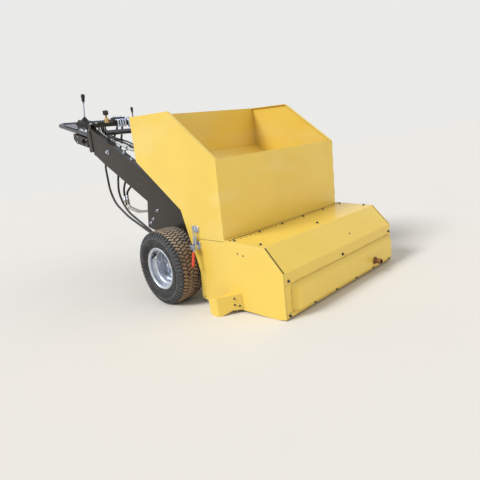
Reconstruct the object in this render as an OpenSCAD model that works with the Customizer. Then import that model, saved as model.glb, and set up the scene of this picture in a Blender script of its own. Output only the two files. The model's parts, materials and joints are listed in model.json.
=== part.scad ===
// Walk-behind asphalt paver on two pneumatic wheels.
// Built on a machine datum: X across (0 = middle), Y from the front sheet to the
// handle, Z up from the lower front edge. park() then tips the machine onto its
// wheels and side plates, as it stands on a floor, with +Z up and +Y to the handle.

/* [Box] */
// Outer width over the side plates
body_w = 930; // [900:10:960]
// Thickness of the lower side plates
plate_t = 6; // [5:0.5:7]
// Thickness of the cover and front sheets
cover_t = 4; // [3:0.5:4.5]
// Height of the upright front
front_h = 206; // [202:1:210]
// Height of the deck over the lower front edge
deck_z = 308; // [304:1:312]
// Depth from the front to the top of the sloped cover
slope_y = 100; // [94:1:106]
// How far the raised front pan stands proud
pan_d = 30; // [24:1:34]
// Thickness of the heated sole
sole_t = 15; // [12:1:16]

/* [Hopper] */
// Thickness of the hopper's sheet
hopper_t = 5; // [4:0.5:5]
// Front wall of the hopper, from the front of the box
hop_front_y = 353; // [350:1:356]
// Height of the front wall's top edge
hop_front_z = 688; // [682:1:694]
// Height of the hopper's rear top edge
hop_top_z = 932; // [928:1:936]
// Width of the folded rim
rim_w = 16; // [12:1:20]

/* [Wheels] */
// Tyre diameter over the lugs
tyre_d = 409; // [406:0.5:410]
// Tyre section width
tyre_w = 165; // [160:1:168]
// Distance from the middle to the outer side of a tyre
tyre_out_x = 578; // [576:1:582]
// Rim flange diameter
rim_d = 232; // [228:1:234]
// Axle position behind the front sheet
axle_y = 786; // [784:1:790]
// Axle height over the lower front edge
axle_z = 120; // [118:1:122]

/* [Frame] */
// Outer faces of the two arms, from the middle
arm_x = 395; // [393:1:397]
// Thickness of the arms' webs
arm_t = 6; // [5:0.5:8]
// Width of the arms' flanges
arm_f = 38; // [34:1:42]
// Diameter of the handle tube
handle_d = 34; // [32:0.5:36]
// Wall of the handle tube and of the cross tube
tube_t = 3; // [2.5:0.5:4]
// Rearmost point of the handle's tube axis
handle_y = 2290; // [2270:5:2310]

/* [Hidden] */
$fn = 64;
yellow = [0.95, 0.78, 0.22];
black = [0.12, 0.11, 0.10];
silver = [0.72, 0.74, 0.76];
hw = body_w / 2;
in_w = hw - plate_t;
tyre_r = tyre_d / 2;
// Outline corners of the box and the hopper, seen from the side as [y, z]
kink = [61, -12];
p_peak = [686, hop_top_z];
p_rear = [1049, hop_top_z];
p_low = [1043, hop_top_z - 250];
p_throat = [669, 431];
p_seam = [628, deck_z];
// Rear wall, floor and chute of the hopper, inner surface, from the top down
wall_y = 985;
floor_path = [[wall_y, hop_top_z - 4], [wall_y, 688], [671, 477], [616.7, deck_z + 2]];
chute_path = [[616, deck_z - 1], [552, 114], [552, 20]];
// The machine's tilt at rest: the line under the tyre that meets the plates' front corner
rest_d = norm([axle_y, axle_z] - kink);
park_a = asin(tyre_r / rest_d) - atan2(axle_z - kink[1], axle_y - kink[0]);
park_z = tyre_r - axle_y * sin(park_a) - axle_z * cos(park_a);
rail_a = 11.5;
rail_0 = [1749, 849];
handle_z = rail_0[1] + (handle_y - rail_0[0]) * tan(rail_a);
// Stub of the heating pipe: place, length and diameter
stub = [236, -pan_d - 38, 64];
stub_d = 28;
rear_y = handle_y * cos(park_a) - handle_z * sin(park_a) + handle_d / 2;
front_y = stub[1] * cos(park_a) - (stub[2] + stub_d / 2) * sin(park_a);
park_y = -(rear_y + front_y) / 2;

// Sets the machine on the floor
module park() translate([0, park_y, park_z]) rotate([park_a, 0, 0]) children();
// Both sides of the machine
module both() {
    children();
    mirror([1, 0, 0]) children();
}
// Height of the floor line under the machine at y
function ground_z(y) = kink[1] - (y - kink[0]) * tan(park_a);

function dir2(a, b) = (b - a) / norm(b - a);
function nrm2(d) = [-d[1], d[0]];
// Path moved sideways by d, to the left of its direction, with mitred corners
function offs(p, d) = [for (i = [0 : len(p) - 1])
    let (a = nrm2(i > 0 ? dir2(p[i - 1], p[i]) : dir2(p[i], p[i + 1])),
        b = nrm2(i < len(p) - 1 ? dir2(p[i], p[i + 1]) : dir2(p[i - 1], p[i])))
    p[i] + d * (a + b) / (1 + a * b)];
function flip(p) = [for (i = [len(p) - 1 : -1 : 0]) p[i]];
// Section of a bent sheet along a path, between two sideways distances
function strip(p, d0, d1) = concat(offs(p, d0), flip(offs(p, d1)));

// Corner points of a rectangle from a to b with corners of radius r
function round_rect(a, b, r, n = 3) = let (m = [[b[0] - r, b[1] - r], [a[0] + r, b[1] - r],
    [a[0] + r, a[1] + r], [b[0] - r, a[1] + r]])
    [for (q = [0 : 3], i = [0 : n]) let (t = 90 * (q + i / n)) m[q] + r * [cos(t), sin(t)]];

// Outline in the side view, drawn out across the machine from x0
module across(pts, x0, w) {
    translate([x0, 0, 0]) rotate([90, 0, 90]) linear_extrude(w) polygon(pts);
}
// Sheet along a side view path, centred across the machine
module sheet(path, d0, d1, w) across(strip(path, d0, d1), -w / 2, w);
module box(p, s) translate(p) cube(s);
// Block with rounded upright edges
module soft_box(p, s, r) translate(p) linear_extrude(s[2])
    polygon(round_rect([0, 0], [s[0], s[1]], r));
// Round bar from a to b
module bar(a, b, d) {
    v = b - a;
    l = norm(v);
    translate(a) rotate([0, acos(v[2] / l), atan2(v[1], v[0])]) cylinder(h = l, d = d);
}
// Hose or pipe of diameter d through a list of points, with round joints
module run(p, d) {
    n = len(p) - 1;
    for (i = [0 : n - 1]) {
        u = (p[i + 1] - p[i]) / norm(p[i + 1] - p[i]) * d * 0.28;
        bar(p[i] + (i > 0 ? 1 : 0) * u, p[i + 1] - (i < n - 1 ? 1 : 0) * u, d);
    }
    for (i = [1 : n - 1]) joint(p[i - 1], p[i], p[i + 1], d * 1.2);
}
// Round joint at b of a run from a to c, its poles to the sides of the bend
module joint(a, b, c, d) {
    u = (a - b) / norm(a - b);
    v = (c - b) / norm(c - b);
    k = cross(u, v) / norm(cross(u, v));
    tip = acos(k[2]);
    turn = atan2(k[1], k[0]);
    away = -(u + v);
    spin = atan2(away * [-sin(turn), cos(turn), 0],
        away * [cos(tip) * cos(turn), cos(tip) * sin(turn), -sin(tip)]);
    translate(b) rotate([0, tip, turn]) rotate([0, 0, spin]) sphere(d = d);
}

// Hopper: side walls, low front wall, rear wall, floor and folded rims
module hopper_shell() color(yellow) park() {
    both() {
        across([[hop_front_y, deck_z], [hop_front_y, hop_front_z], p_peak, p_rear,
            p_low, p_throat, p_seam], hw - hopper_t, hopper_t);
        across(strip([[hop_front_y, hop_front_z], p_peak, p_rear], -4, 0),
            hw - rim_w, rim_w);
    }
    sheet([[hop_front_y, deck_z], [hop_front_y, hop_front_z]], -hopper_t, 0, body_w - 2);
    box([-hw + 1, hop_front_y, hop_front_z - 4], [body_w - 2, rim_w, 4]);
    sheet(floor_path, 0, hopper_t, body_w - 2);
    box([-hw + 1, wall_y, hop_top_z - 4], [body_w - 2, p_rear[0] - wall_y, 4]);
    box([-hw + 1, p_rear[0] - 4, hop_top_z - 30], [body_w - 2, 4, 30]);
}

front_path = [[0, 0], [0, front_h], [slope_y, deck_z], [hop_front_y - 2, deck_z]];
// Lower side plates, with the inward flanges that the cover and front are bolted to
module box_side_plates() color(yellow) park() both() {
    across([[0, 0], [0, front_h], [slope_y, deck_z], p_seam, [597, 226], [562, 114],
        [566, 41], [571, -8], [567, -28], [557, -31], [525, -36], [266, -22], kink],
        hw - plate_t, plate_t);
    across(strip(front_path, -cover_t - 5, -cover_t), hw - 48, 43);
}

// Closes the box behind the outlet; the bottom stays open to the road
module box_rear_wall() color(yellow) park() {
    sheet(chute_path, 0, 5, 2 * in_w);
}

// Deck at the hopper's foot and the sloped cover in front of it
module cover_sheet() color(yellow) park() {
    sheet([[0, 152], [0, front_h], [slope_y, deck_z], [hop_front_y - 1, deck_z]],
        -cover_t, 0, 2 * in_w - 3);
}

module front_panel() color(yellow) park() difference() {
    box([-in_w + 1.5, 0, 1], [2 * in_w - 3, cover_t, 150]);
    stub_hole(2);
}

pan_z0 = 26;
pan_z1 = 148;
// Way through for the heating pipe's stub, with a gap all round
module stub_hole(gap) translate([stub[0], stub[1] - 5, stub[2]]) rotate([-90, 0, 0])
    cylinder(h = 150 + pan_d + 50, d = stub_d + 2 * gap);
// Outer form of the raised pan, grown inwards by g
module pan_form(g) hull() {
    box([-418 + g, -0.01, pan_z0 + g], [864 - 2 * g, 0.01, pan_z1 - pan_z0 - 2 * g]);
    box([-392 + g, -pan_d + g, pan_z0 + 8 + g],
        [812 - 2 * g, 0.01, pan_z1 - pan_z0 - 34 - 2 * g]);
}
module front_pan() color(yellow) park() difference() {
    pan_form(0);
    translate([0, 1, 0]) pan_form(3);
    stub_hole(2);
}

// Plate between the hopper's front wall and the sole's rear edge
strike_path = [[349, deck_z - 9], [306, ground_z(306) + 30]];
module strike_off_plate() color(black) park() {
    sheet(strike_path, 0, 10, 2 * in_w);
}

// Heated sole that rides on the laid mat, turned up at the front
sole_path = [[12, 92], [12, 28], [34, ground_z(34) + 20], [300, ground_z(300) + 20]];
module screed_plate() color(black) park() difference() {
    sheet(sole_path, 0, sole_t, 2 * in_w - 4);
    stub_hole(2);
}

// Two box beams on the sole
beam = [50, 60];
module screed_beams() color(black) park() difference() {
    for (y = [55, 210]) translate([0, y, ground_z(y)]) rotate([-park_a, 0, 0]) difference() {
        box([-in_w + 1, 0, 20.3 + sole_t], [2 * in_w - 2, beam[0], beam[1]]);
        box([-in_w - 1, 6, 26.3 + sole_t], [2 * in_w + 2, beam[0] - 12, beam[1] - 12]);
    }
    stub_hole(0.3);
}

// Heating pipe: the stub at the front and its manifold over the sole
module burner_pipe() color([0.45, 0.25, 0.12]) park() difference() {
    union() {
        translate(stub) rotate([-90, 0, 0]) cylinder(h = 148 - stub[1], d = stub_d);
        bar([-380, 148, stub[2]], [400, 148, stub[2]], 42);
    }
    translate(stub - [0, 1, 0]) rotate([-90, 0, 0]) cylinder(h = 112, d = stub_d - 6);
}

// Wedge shoes low on the side plates, on the floor: an oblique front plate, an outer
// plate with a round heel, a gusset on top and a web behind the front plate
shoe = [hw, hw + 93];
shoe_h = 92;
module side_shoes() color(yellow) translate([0, park_y, 0]) both() {
    difference() {
        linear_extrude(shoe_h) polygon([[shoe[0], 262], [shoe[1], 338], [shoe[1] - 6, 342],
            [shoe[0], 270]]);
        translate([0, 400, 0]) rotate([90, 0, 0]) linear_extrude(200)
            polygon([[hw - 1, -1], [shoe[1] - 10, -1], [shoe[1] - 52, 20], [hw - 1, 16]]);
    }
    translate([shoe[1] - 6, 0, 0]) rotate([90, 0, 90]) linear_extrude(6)
        polygon(concat([[338, 0]], [for (i = [0 : 6]) [376, 22] + 22 * [cos(i * 15 - 90), sin(i * 15 - 90)]],
            [[398, shoe_h - 8], [338, shoe_h]]));
    translate([0, 0, shoe_h - 5]) linear_extrude(5)
        polygon([[shoe[0], 264], [shoe[0], 342], [shoe[1] - 3, 342], [shoe[1] - 3, 336]]);
    box([shoe[0], 337, 24], [shoe[1] - shoe[0] - 3, 5, shoe_h - 26]);
}

// Plates with three holes on the hopper, that the toggle clamps hook onto
module clamp_keepers() color(silver) park() both() difference() {
    box([hw, 545, 316], [5, 30, 52]);
    for (z = [326, 342, 358]) translate([hw - 1, 560, z]) rotate([0, 90, 0])
        cylinder(h = 8, d = 8);
}

// Toggle clamps: base, pivot ring and red handle
module clamp_levers() {
    color(silver) park() both() {
        box([hw, 540, 232], [5, 38, 52]);
        box([hw, 545, 238], [40, 5, 30]);
        box([hw, 568, 238], [40, 5, 30]);
        translate([hw + 28, 536, 254]) rotate([-90, 0, 0]) cylinder(h = 46, d = 20);
        box([hw + 5, 552, 262], [6, 14, 46]);
    }
    color("red") park() both() translate([hw + 30, 552, 250]) rotate([0, 168, 0])
        box([-5, 0, 0], [10, 15, 96]);
}

arm_end = 1705.7;
// Height of the arms' top edge at y
function top_z(y) = 881 + (y - 1658) * 0.4685;
arm_floor = offs(floor_path, hopper_t + 0.3);
arm_seat = arm_floor[2] + (arm_floor[1] - arm_floor[2]) * 0.88;
arm_wall = offs(chute_path, 5.3);
arm_low = [[arm_end, 726], [1672, 712], [1590, 667], [1101, 437]];
arm_pts = concat([[arm_end, top_z(arm_end)], [1000, top_z(1000)], arm_seat + [18, -60], arm_seat,
    arm_floor[2], arm_floor[3], arm_wall[0], arm_wall[1], [arm_wall[2][0], 40], [700, 30],
    [880, 30], [975, 240], [1131, 274]], flip(arm_low));
// Arms: a deep web from the handle end down to the axle, with inward flanges
module arm_plates() color(black) park() both() {
    difference() {
        across(arm_pts, arm_x - arm_t, arm_t);
        translate([arm_x - arm_t - 1, axle_y, axle_z]) rotate([0, 90, 0])
            cylinder(h = arm_t + 2, d = 70);
    }
    across(strip([[arm_end - 3.3, top_z(arm_end - 3.3)], [690, top_z(690)]], -0.3, arm_t),
        arm_x - arm_f, arm_f);
    across(strip(concat([[arm_end - 3.3, 724.5]], [for (i = [1 : 3]) arm_low[i]]), -arm_t, 0.3),
        arm_x - arm_f, arm_f);
}

// Upright posts that close the arms' rear ends, rounded below
post_y = [1706, 1756];
post_z = [742, 892];
module arm_posts() color(black) park() both() difference() {
    across(round_rect([post_y[0], post_z[0]], [post_y[1], post_z[1]], 12), arm_x - 60, 65);
    across(round_rect([post_y[0] + 4, post_z[0] + 4], [post_y[1] - 4, post_z[1] - 4], 8),
        arm_x - 61, 62);
}

// Channel between the arms under the hopper
module cross_channel() color(black) park() {
    sheet([[1010, 560], [1010, 470], [1080, 470]], 0, 6, 2 * (arm_x - arm_t));
}

// Console plate across the posts, with a folded front and two risers
con_z = 931;
module console_plate() color(black) park() {
    box([-arm_x + 10, 1650, con_z - 4], [2 * arm_x - 20, 106, 4]);
    box([-arm_x + 10, 1650, con_z - 26], [2 * arm_x - 20, 4, 24]);
    both() box([arm_x - 50, 1711, post_z[1] + 0.3], [40, 40, con_z - post_z[1] - 2]);
}

module cross_tube() color(black) park() difference() {
    union() {
        bar([-arm_x + 12, 1518, 862], [arm_x - 12, 1518, 862], 34);
        both() across([[1503, top_z(1503) + 0.65], [1533, top_z(1533) + 0.65], [1528, 862],
            [1508, 862]], arm_x - 34, 8);
    }
    bar([-arm_x, 1518, 862], [arm_x, 1518, 862], 34 - 2 * tube_t);
}

// Frame of the handle's rails: Y along them, Z square to them
module on_rail() translate([0, rail_0[0], rail_0[1]]) rotate([rail_a, 0, 0]) children();
// Handle: a tube bent to a U, its ends butted on the posts
handle_r = 45;
handle_x = arm_x - 28;
module handle_bar(d) on_rail() {
    l = (handle_y - rail_0[0]) / cos(rail_a);
    both() {
        rotate([-90, 0, 0]) translate([handle_x, 0, 0]) cylinder(h = l - handle_r, d = d);
        translate([handle_x - handle_r, l - handle_r, 0])
            rotate_extrude(angle = 90) translate([handle_r, 0]) circle(d = d);
    }
    bar([-handle_x + handle_r, l, 0], [handle_x - handle_r, l, 0], d);
}
module handle_loop() color(black) park() difference() {
    handle_bar(handle_d);
    handle_bar(handle_d - 2 * tube_t);
    box([-500, 1700, 780], [1000, post_y[1] + 0.3 - 1700, 200]);
}

// Slotted stand of the travel lever, on the left rail
lever_p = [-261, 0.588 * (handle_y - rail_0[0]) / cos(rail_a)];
module lever_stand() color(black) park() on_rail() difference() {
    union() {
        box([-handle_x - 14, lever_p[1] - 108, handle_d / 2 + 0.3], [handle_x - 211, 216, 4]);
        translate([lever_p[0] - 30, lever_p[1], 0]) rotate([90, 0, 90]) linear_extrude(62)
            polygon([[-96, 18], [-52, 62], [45, 62], [98, 18]]);
        for (x = [-16, 10]) box([lever_p[0] + x, lever_p[1] - 12, -14], [6, 24, 40]);
    }
    translate([lever_p[0] - 26, lever_p[1], 0]) rotate([90, 0, 90]) linear_extrude(54)
        polygon([[-92, 16], [-50, 58], [43, 58], [94, 16]]);
    box([lever_p[0] - 7, lever_p[1] - 38, 12], [14, 76, 60]);
    translate([lever_p[0] - 20, lever_p[1], 0]) rotate([0, 90, 0]) cylinder(h = 40, d = 8.8);
}

// Upright lever with a round grip
module lever(h, knob_h, knob_d, rod_d) {
    cylinder(h = h, d = rod_d);
    k = knob_d / 2;
    translate([0, 0, h - 2]) rotate_extrude() polygon([[0, 0], [k * 0.62, 0], [k * 0.72, 3],
        [k * 0.86, knob_h * 0.45], [k, knob_h * 0.72], [k * 0.92, knob_h * 0.88],
        [k * 0.6, knob_h * 0.97], [0, knob_h]]);
}
module travel_lever() park() color(black) on_rail() translate([lever_p[0], lever_p[1], 0]) {
    lever(202, 56, 30, 10);
    translate([-16, 0, 0]) rotate([0, 90, 0]) cylinder(h = 32, d = 8.2);
}
module gate_lever() park() color(black) translate([-60, 1694, con_z + 0.3]) {
    lever(62, 40, 20, 8);
    cylinder(h = 12, d = 22);
}

// Switch box under the left rail, with a round switch on its outer side
module control_box() color(black) park() on_rail() {
    across([[30, -17.2], [30, -80], [205, -80], [250, -56], [250, -17.2]], -handle_x - 24, 50);
    translate([-handle_x - 36, 90, -44]) rotate([0, 90, 0]) cylinder(h = 14, d = 34);
}

// Flow valve with its star knob
module flow_valve() park() translate([-264, 1704, con_z + 0.3]) {
    color([0.75, 0.55, 0.2]) {
        cylinder(h = 9, d = 34, $fn = 6);
        translate([0, 0, 8]) cylinder(h = 20, d = 28);
        translate([0, 0, 27]) cylinder(h = 8, d = 30, $fn = 6);
        translate([0, 0, 34]) cylinder(h = 22, d = 14);
        translate([10, 0, 18]) rotate([0, 90, 0]) cylinder(h = 14, d = 16);
    }
    color(black) translate([0, 0, 54]) {
        cylinder(h = 30, d = 30);
        for (a = [0 : 60 : 300]) rotate(a) translate([14, 0, 0]) cylinder(h = 30, d = 10);
    }
}

// Valve bank on the console with its fittings
module valve_block() park() color(silver) {
    box([-226, 1672, con_z + 0.3], [84, 52, 34]);
    for (x = [-214, -196, -178, -160]) translate([x, 1692, con_z + 30]) cylinder(h = 14, d = 14);
    box([-142.5, 1682, con_z + 0.3], [60, 30, 24]);
    for (x = [-128, -98]) translate([x, 1697, con_z + 20]) cylinder(h = 16, d = 16, $fn = 6);
    for (x = [-128, -98]) {
        translate([x, 1690, con_z + 12]) rotate([90, 0, 0]) cylinder(h = 52, d = 13);
        translate([x, 1640, con_z + 18]) rotate([180, 0, 0]) cylinder(h = 62, d = 15);
        translate([x, 1640, con_z - 42]) cylinder(h = 16, d = 21, $fn = 6);
    }
}

// Engine: front face of the block and height of the bed it stands on
eng_y = 1100;
bed_z = 560;
module engine_bed() color(black) park() {
    box([-arm_x + 56, eng_y - 20, bed_z - 6], [2 * arm_x - 112, 240, 6]);
    box([-arm_x + arm_t, eng_y - 10, bed_z - 6], [2 * (arm_x - arm_t), 150, 6]);
}
// Crankcase with a finned barrel on it
module engine_block() color([0.25, 0.25, 0.26]) park() {
    soft_box([-105, eng_y + 4, bed_z], [222, 197, 110], 14);
    soft_box([-80, eng_y + 24, bed_z + 100], [172, 157, 100], 10);
    for (i = [0 : 5]) soft_box([-92, eng_y + 10, bed_z + 112 + i * 14], [196, 185, 5], 12);
    translate([10, eng_y + 100, bed_z + 190]) cylinder(h = 55, d = 150);
    translate([100, eng_y + 90, bed_z + 45]) rotate([0, 90, 0]) cylinder(h = 30, d = 90);
}
// Fan housing with a slotted cover
module engine_shroud() color(silver) park() translate([-105.3, eng_y + 102, 680])
    rotate([0, -90, 0]) difference() {
        union() {
            cylinder(h = 48, d = 210);
            translate([0, 0, 47]) cylinder(h = 26, d1 = 190, d2 = 150);
        }
        translate([0, 0, 4]) cylinder(h = 40, d = 200);
        translate([0, 0, 43]) cylinder(h = 26, d1 = 180, d2 = 142);
        for (a = [0 : 30 : 330]) rotate(a) translate([38, -4, 60]) cube([28, 8, 20]);
        for (a = [0 : 20 : 340]) rotate(a) translate([96, -5, 10]) cube([20, 10, 24]);
    }
module fuel_tank() color([0.85, 0.86, 0.86]) park() {
    soft_box([-70, eng_y + 5, 805.3], [210, 190, 62], 26);
    translate([60, eng_y + 100, 866]) cylinder(h = 18, d = 62);
    box([-50, eng_y + 95, 862], [30, 12, 10]);
}
module muffler() color(silver) park() {
    soft_box([104.5, eng_y + 20, 690], [90, 150, 92], 16);
    translate([150, eng_y + 168, 745]) rotate([-90, 0, 0]) cylinder(h = 30, d = 26);
    for (i = [0 : 4]) box([190, eng_y + 34, 702 + i * 16], [8, 122, 6]);
}
module air_cleaner() color(black) park() {
    soft_box([-70, eng_y + 195.3, 700], [150, 64, 96], 18);
    translate([5, eng_y + 227, 795]) cylinder(h = 12, d = 22);
}

// Oil tank, hung from the cross tube by two lugs, with a filler cap and a level gauge
module hydraulic_tank() color(black) park() {
    soft_box([-130, 1430, 640], [260, 170, 185], 14);
    both() box([70, 1508, 824], [8, 20, 20.7]);
    translate([0, 1470, 824]) cylinder(h = 20, d = 54);
    translate([60, 1600, 670]) rotate([-90, 0, 0]) soft_box([-9, -110, 0], [18, 110, 5], 8);
}
// Gear pump on the crankcase, with its bell housing and ports
pump_z = 600;
module hydraulic_pump() color(silver) park() {
    translate([-10, eng_y + 201.3, pump_z]) rotate([-90, 0, 0]) cylinder(h = 30, d = 78);
    box([-48, eng_y + 228, pump_z - 32], [76, 70, 64]);
    both() translate([30, eng_y + 262, pump_z]) rotate([0, 90, 0]) cylinder(h = 40, d = 24);
}

// Top of a wheel motor's port, where a hose ends
function port(x) = [x, axle_y, axle_z + 93.3];
// Hoses from the console down behind the arms to the wheel motors
hose_d = 15;
drop_a = [[200, 1690, con_z - 4.3], [200, 1690, con_z - 41], [325, 1714, 650],
    [330, 1690, 460], [330, 1635, 372], [330, 1484, 292], [336, 1180, 200],
    [343, 900, 222], [342, axle_y + 56, 272], [342, axle_y + 20, 280], [342, axle_y, 260],
    port(342)];
drop_b = [[160, 1690, con_z - 4.3], [160, 1690, con_z - 41], [300, 1600, 560],
    [310, 1608, 450], [310, 1560, 365], [310, 1500, 313], [308, 1180, 182],
    [311, 890, 212], [312, axle_y + 56, 262], [312, axle_y + 20, 270], [312, axle_y, 250],
    port(312)];
module motor_hoses() color("black") park() both() {
    run(drop_a, hose_d);
    run(drop_b, hose_d);
}
// Hoses from the oil tank and the pump to the steel pipes under the arms
module supply_hoses() color("black") park() both() {
    run([[110, 1520, 639.7], [110, 1520, 600], [150, 1526, 565], [290, 1522, 536],
        [322, 1504, 480], [325, 1502, 440], [325, 1502, 402]], hose_d);
    run([[70.3, eng_y + 262, pump_z], [104, eng_y + 262, pump_z], [190, 1402, 572],
        [262, 1462, 520], [296, 1518, 452], [296, 1518, 402]], hose_d);
}
// Bent steel pipes between the hoses' ends and a block on each arm
module steel_pipes() color(silver) park() both() {
    for (p = [[325, 1502, 392], [296, 1518, 362]]) {
        run([[p[0], p[1], 401.7], [p[0], p[1], 372], [p[0], p[1] - 22, 352],
            [p[0], p[1] - 150, 332], [p[0], p[1] - 280, 350], [p[0] + 4, 1080, p[2]]], 11);
        translate([p[0], p[1], 372]) cylinder(h = 29.7, d = 20, $fn = 6);
    }
    box([288, 1052, 344], [arm_x - arm_t - 288.3, 30, 60]);
}

motor_x = arm_x - arm_t;
module wheel_motors() color(black) park() both() translate([0, axle_y, axle_z]) {
    translate([motor_x - 120, 0, 0]) rotate([0, 90, 0]) cylinder(h = 120, d = 120);
    translate([motor_x - 1, 0, 0]) rotate([0, 90, 0]) cylinder(h = disc_x - 40.3 - motor_x + 1, d = 60);
    translate([motor_x - 1, 0, 0]) rotate([0, 90, 0]) cylinder(h = disc_x + 9 - motor_x, d = 30);
    translate([motor_x - 90, -30, 40]) cube([60, 60, 35]);
    for (x = [312, 342]) translate([x, 0, 70]) cylinder(h = 23, d = 22);
}

// Wheel parts, turned about the axle, with the outside towards +X
tyre_in_x = tyre_out_x - tyre_w;
tyre_mid_x = tyre_out_x - tyre_w / 2;
disc_x = tyre_out_x - 98;
module turned(pts) rotate([0, 90, 0]) rotate_extrude($fn = 128) polygon(pts);
// Half of the tyre's section, as [radius, distance from its middle]
tyre_half = [[rim_d / 2 - 12.2, 61.7], [rim_d / 2 + 0.4, 61.7], [rim_d / 2 + 1, 71],
    [rim_d / 2 + 14, 77],
    [tyre_r * 0.74, tyre_w / 2], [tyre_r * 0.86, tyre_w / 2 - 1], [tyre_r * 0.955, tyre_w / 2 - 9],
    [tyre_r - 2, tyre_w / 2 - 20], [tyre_r, tyre_w / 2 - 40]];
tyre_cut = [[tyre_r - 12, 40], [tyre_r * 0.93, tyre_w / 2 - 14], [tyre_r * 0.86, tyre_w / 2 - 10],
    [tyre_r * 0.74, tyre_w / 2 - 9], [rim_d / 2 + 14, 66], [rim_d / 2 + 2, 54],
    [rim_d / 2 - 12.2, 48]];
function mir(p) = [for (i = [len(p) - 1 : -1 : 0]) [p[i][0], -p[i][1]]];
module tyre() translate([tyre_mid_x, 0, 0])
    turned(concat(tyre_half, mir(tyre_half), mir(tyre_cut), tyre_cut));
module rim() translate([tyre_mid_x, 0, 0]) {
    k = rim_d / 2;
    turned([[k, 62], [k, 70], [k - 4, 72], [k - 8, 69], [k - 16, 66], [k - 16, 52],
        [k - 20, 40], [k - 30, 34], [k - 30, 8], [k - 18, -2], [k - 16, -52],
        [k - 16, -66], [k - 8, -69], [k - 4, -72], [k, -70], [k, -62], [k - 12.5, -62],
        [k - 12.5, -50], [k - 14, 0], [k - 26, 12], [k - 26, 34], [k - 17, 39],
        [k - 12.5, 50], [k - 12.5, 62]]);
    // wheel disc with its centre hole
    translate([disc_x - tyre_mid_x, 0, 0]) difference() {
        turned([[32, 0], [k - 15, 0], [k - 15, 5], [32, 5]]);
        for (a = [0 : 72 : 288]) rotate([a, 0, 0]) translate([-1, 0, 52])
            rotate([0, 90, 0]) cylinder(h = 8, d = 13);
    }
}
module hub() translate([disc_x, 0, 0]) {
    turned([[15.2, -40], [38, -40], [38, -12], [66, -12], [66, 0], [31.5, 0], [31.5, 14],
        [22, 20], [0, 20], [0, 10], [15.2, 10]]);
    for (a = [0 : 72 : 288]) rotate([a, 0, 0]) translate([-0.5, 0, 52])
        rotate([0, 90, 0]) {
            cylinder(h = 20, d = 12);
            translate([0, 0, 6]) cylinder(h = 12, d = 21, $fn = 6);
        }
}
module at_axle(side) park() translate([0, axle_y, axle_z])
    if (side < 0) mirror([1, 0, 0]) children();
    else children();

module tyre_left() color([0.09, 0.09, 0.09]) at_axle(-1) tyre();
module rim_left() color(silver) at_axle(-1) rim();
module hub_left() color(silver) at_axle(-1) hub();
module tyre_right() color([0.09, 0.09, 0.09]) at_axle(1) tyre();
module rim_right() color(silver) at_axle(1) rim();
module hub_right() color(silver) at_axle(1) hub();

hopper_shell();
box_side_plates();
box_rear_wall();
cover_sheet();
front_panel();
front_pan();
strike_off_plate();
screed_plate();
screed_beams();
burner_pipe();
side_shoes();
clamp_keepers();
clamp_levers();
arm_plates();
arm_posts();
cross_channel();
console_plate();
cross_tube();
handle_loop();
lever_stand();
travel_lever();
gate_lever();
control_box();
flow_valve();
valve_block();
engine_bed();
engine_block();
engine_shroud();
fuel_tank();
muffler();
air_cleaner();
hydraulic_tank();
hydraulic_pump();
motor_hoses();
supply_hoses();
steel_pipes();
wheel_motors();
tyre_left();
rim_left();
hub_left();
tyre_right();
rim_right();
hub_right();
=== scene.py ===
"""Looks of a walk-behind asphalt paver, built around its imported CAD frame.

Pieces are drawn in the machine's own frame, in millimetres: X across, Y from the
front sheet to the handle, Z up from the lower front edge. Datum sets that frame on
the floor, where everything is in metres.
"""

import json
import logging
import math
from dataclasses import dataclass
from enum import Enum
from typing import Sequence

import bmesh
import bpy
from mathutils import Matrix, Vector

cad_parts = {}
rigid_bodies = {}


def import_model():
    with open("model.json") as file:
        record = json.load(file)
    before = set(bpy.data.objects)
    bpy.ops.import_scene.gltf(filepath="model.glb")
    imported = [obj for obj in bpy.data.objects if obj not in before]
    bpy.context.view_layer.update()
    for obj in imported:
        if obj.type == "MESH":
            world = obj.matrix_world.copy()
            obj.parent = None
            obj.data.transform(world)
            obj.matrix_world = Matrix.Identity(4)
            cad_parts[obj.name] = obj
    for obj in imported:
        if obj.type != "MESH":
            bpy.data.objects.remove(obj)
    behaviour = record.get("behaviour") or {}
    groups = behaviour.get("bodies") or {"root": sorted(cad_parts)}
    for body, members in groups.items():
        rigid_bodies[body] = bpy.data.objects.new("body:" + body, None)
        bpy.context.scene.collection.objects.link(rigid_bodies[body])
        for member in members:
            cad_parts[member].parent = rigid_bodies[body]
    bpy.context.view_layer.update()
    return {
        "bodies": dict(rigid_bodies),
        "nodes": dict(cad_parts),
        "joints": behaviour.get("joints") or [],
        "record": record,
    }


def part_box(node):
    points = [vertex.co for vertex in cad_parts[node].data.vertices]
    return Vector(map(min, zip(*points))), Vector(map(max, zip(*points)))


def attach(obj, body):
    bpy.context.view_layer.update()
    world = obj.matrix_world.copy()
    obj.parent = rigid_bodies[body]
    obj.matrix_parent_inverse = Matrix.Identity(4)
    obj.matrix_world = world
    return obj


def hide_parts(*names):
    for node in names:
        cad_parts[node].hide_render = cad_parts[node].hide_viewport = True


LOG = logging.getLogger("paver")
Colour = tuple[float, float, float]
Point = tuple[float, float, float]
Inputs = dict[int | str, object]
Profile = Sequence[tuple[float, float]]

# Left and right of the machine's middle, as signs on X.
SIDES = (-1, 1)
# Half of the width over the side plates, and the engine's front, in millimetres.
BODY_HALF = 465.0
ENGINE_FRONT = 1100.0
# Metres in a millimetre.
MM = 0.001
# Faces that meet at more than this keep a hard edge between them.
HARD_EDGE = math.radians(34)
# Length of one scale of a weld bead.
WELD_SCALE = 2.4
# Thickness of a bolt's washer.
WASHER = 1.9
# Points round a bolt's head or a nut.
HEXAGON = 6
# Width of the photograph's frame in pixels, and of the camera's sensor in millimetres.
FRAME = 480
SENSOR = 36.0


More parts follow.
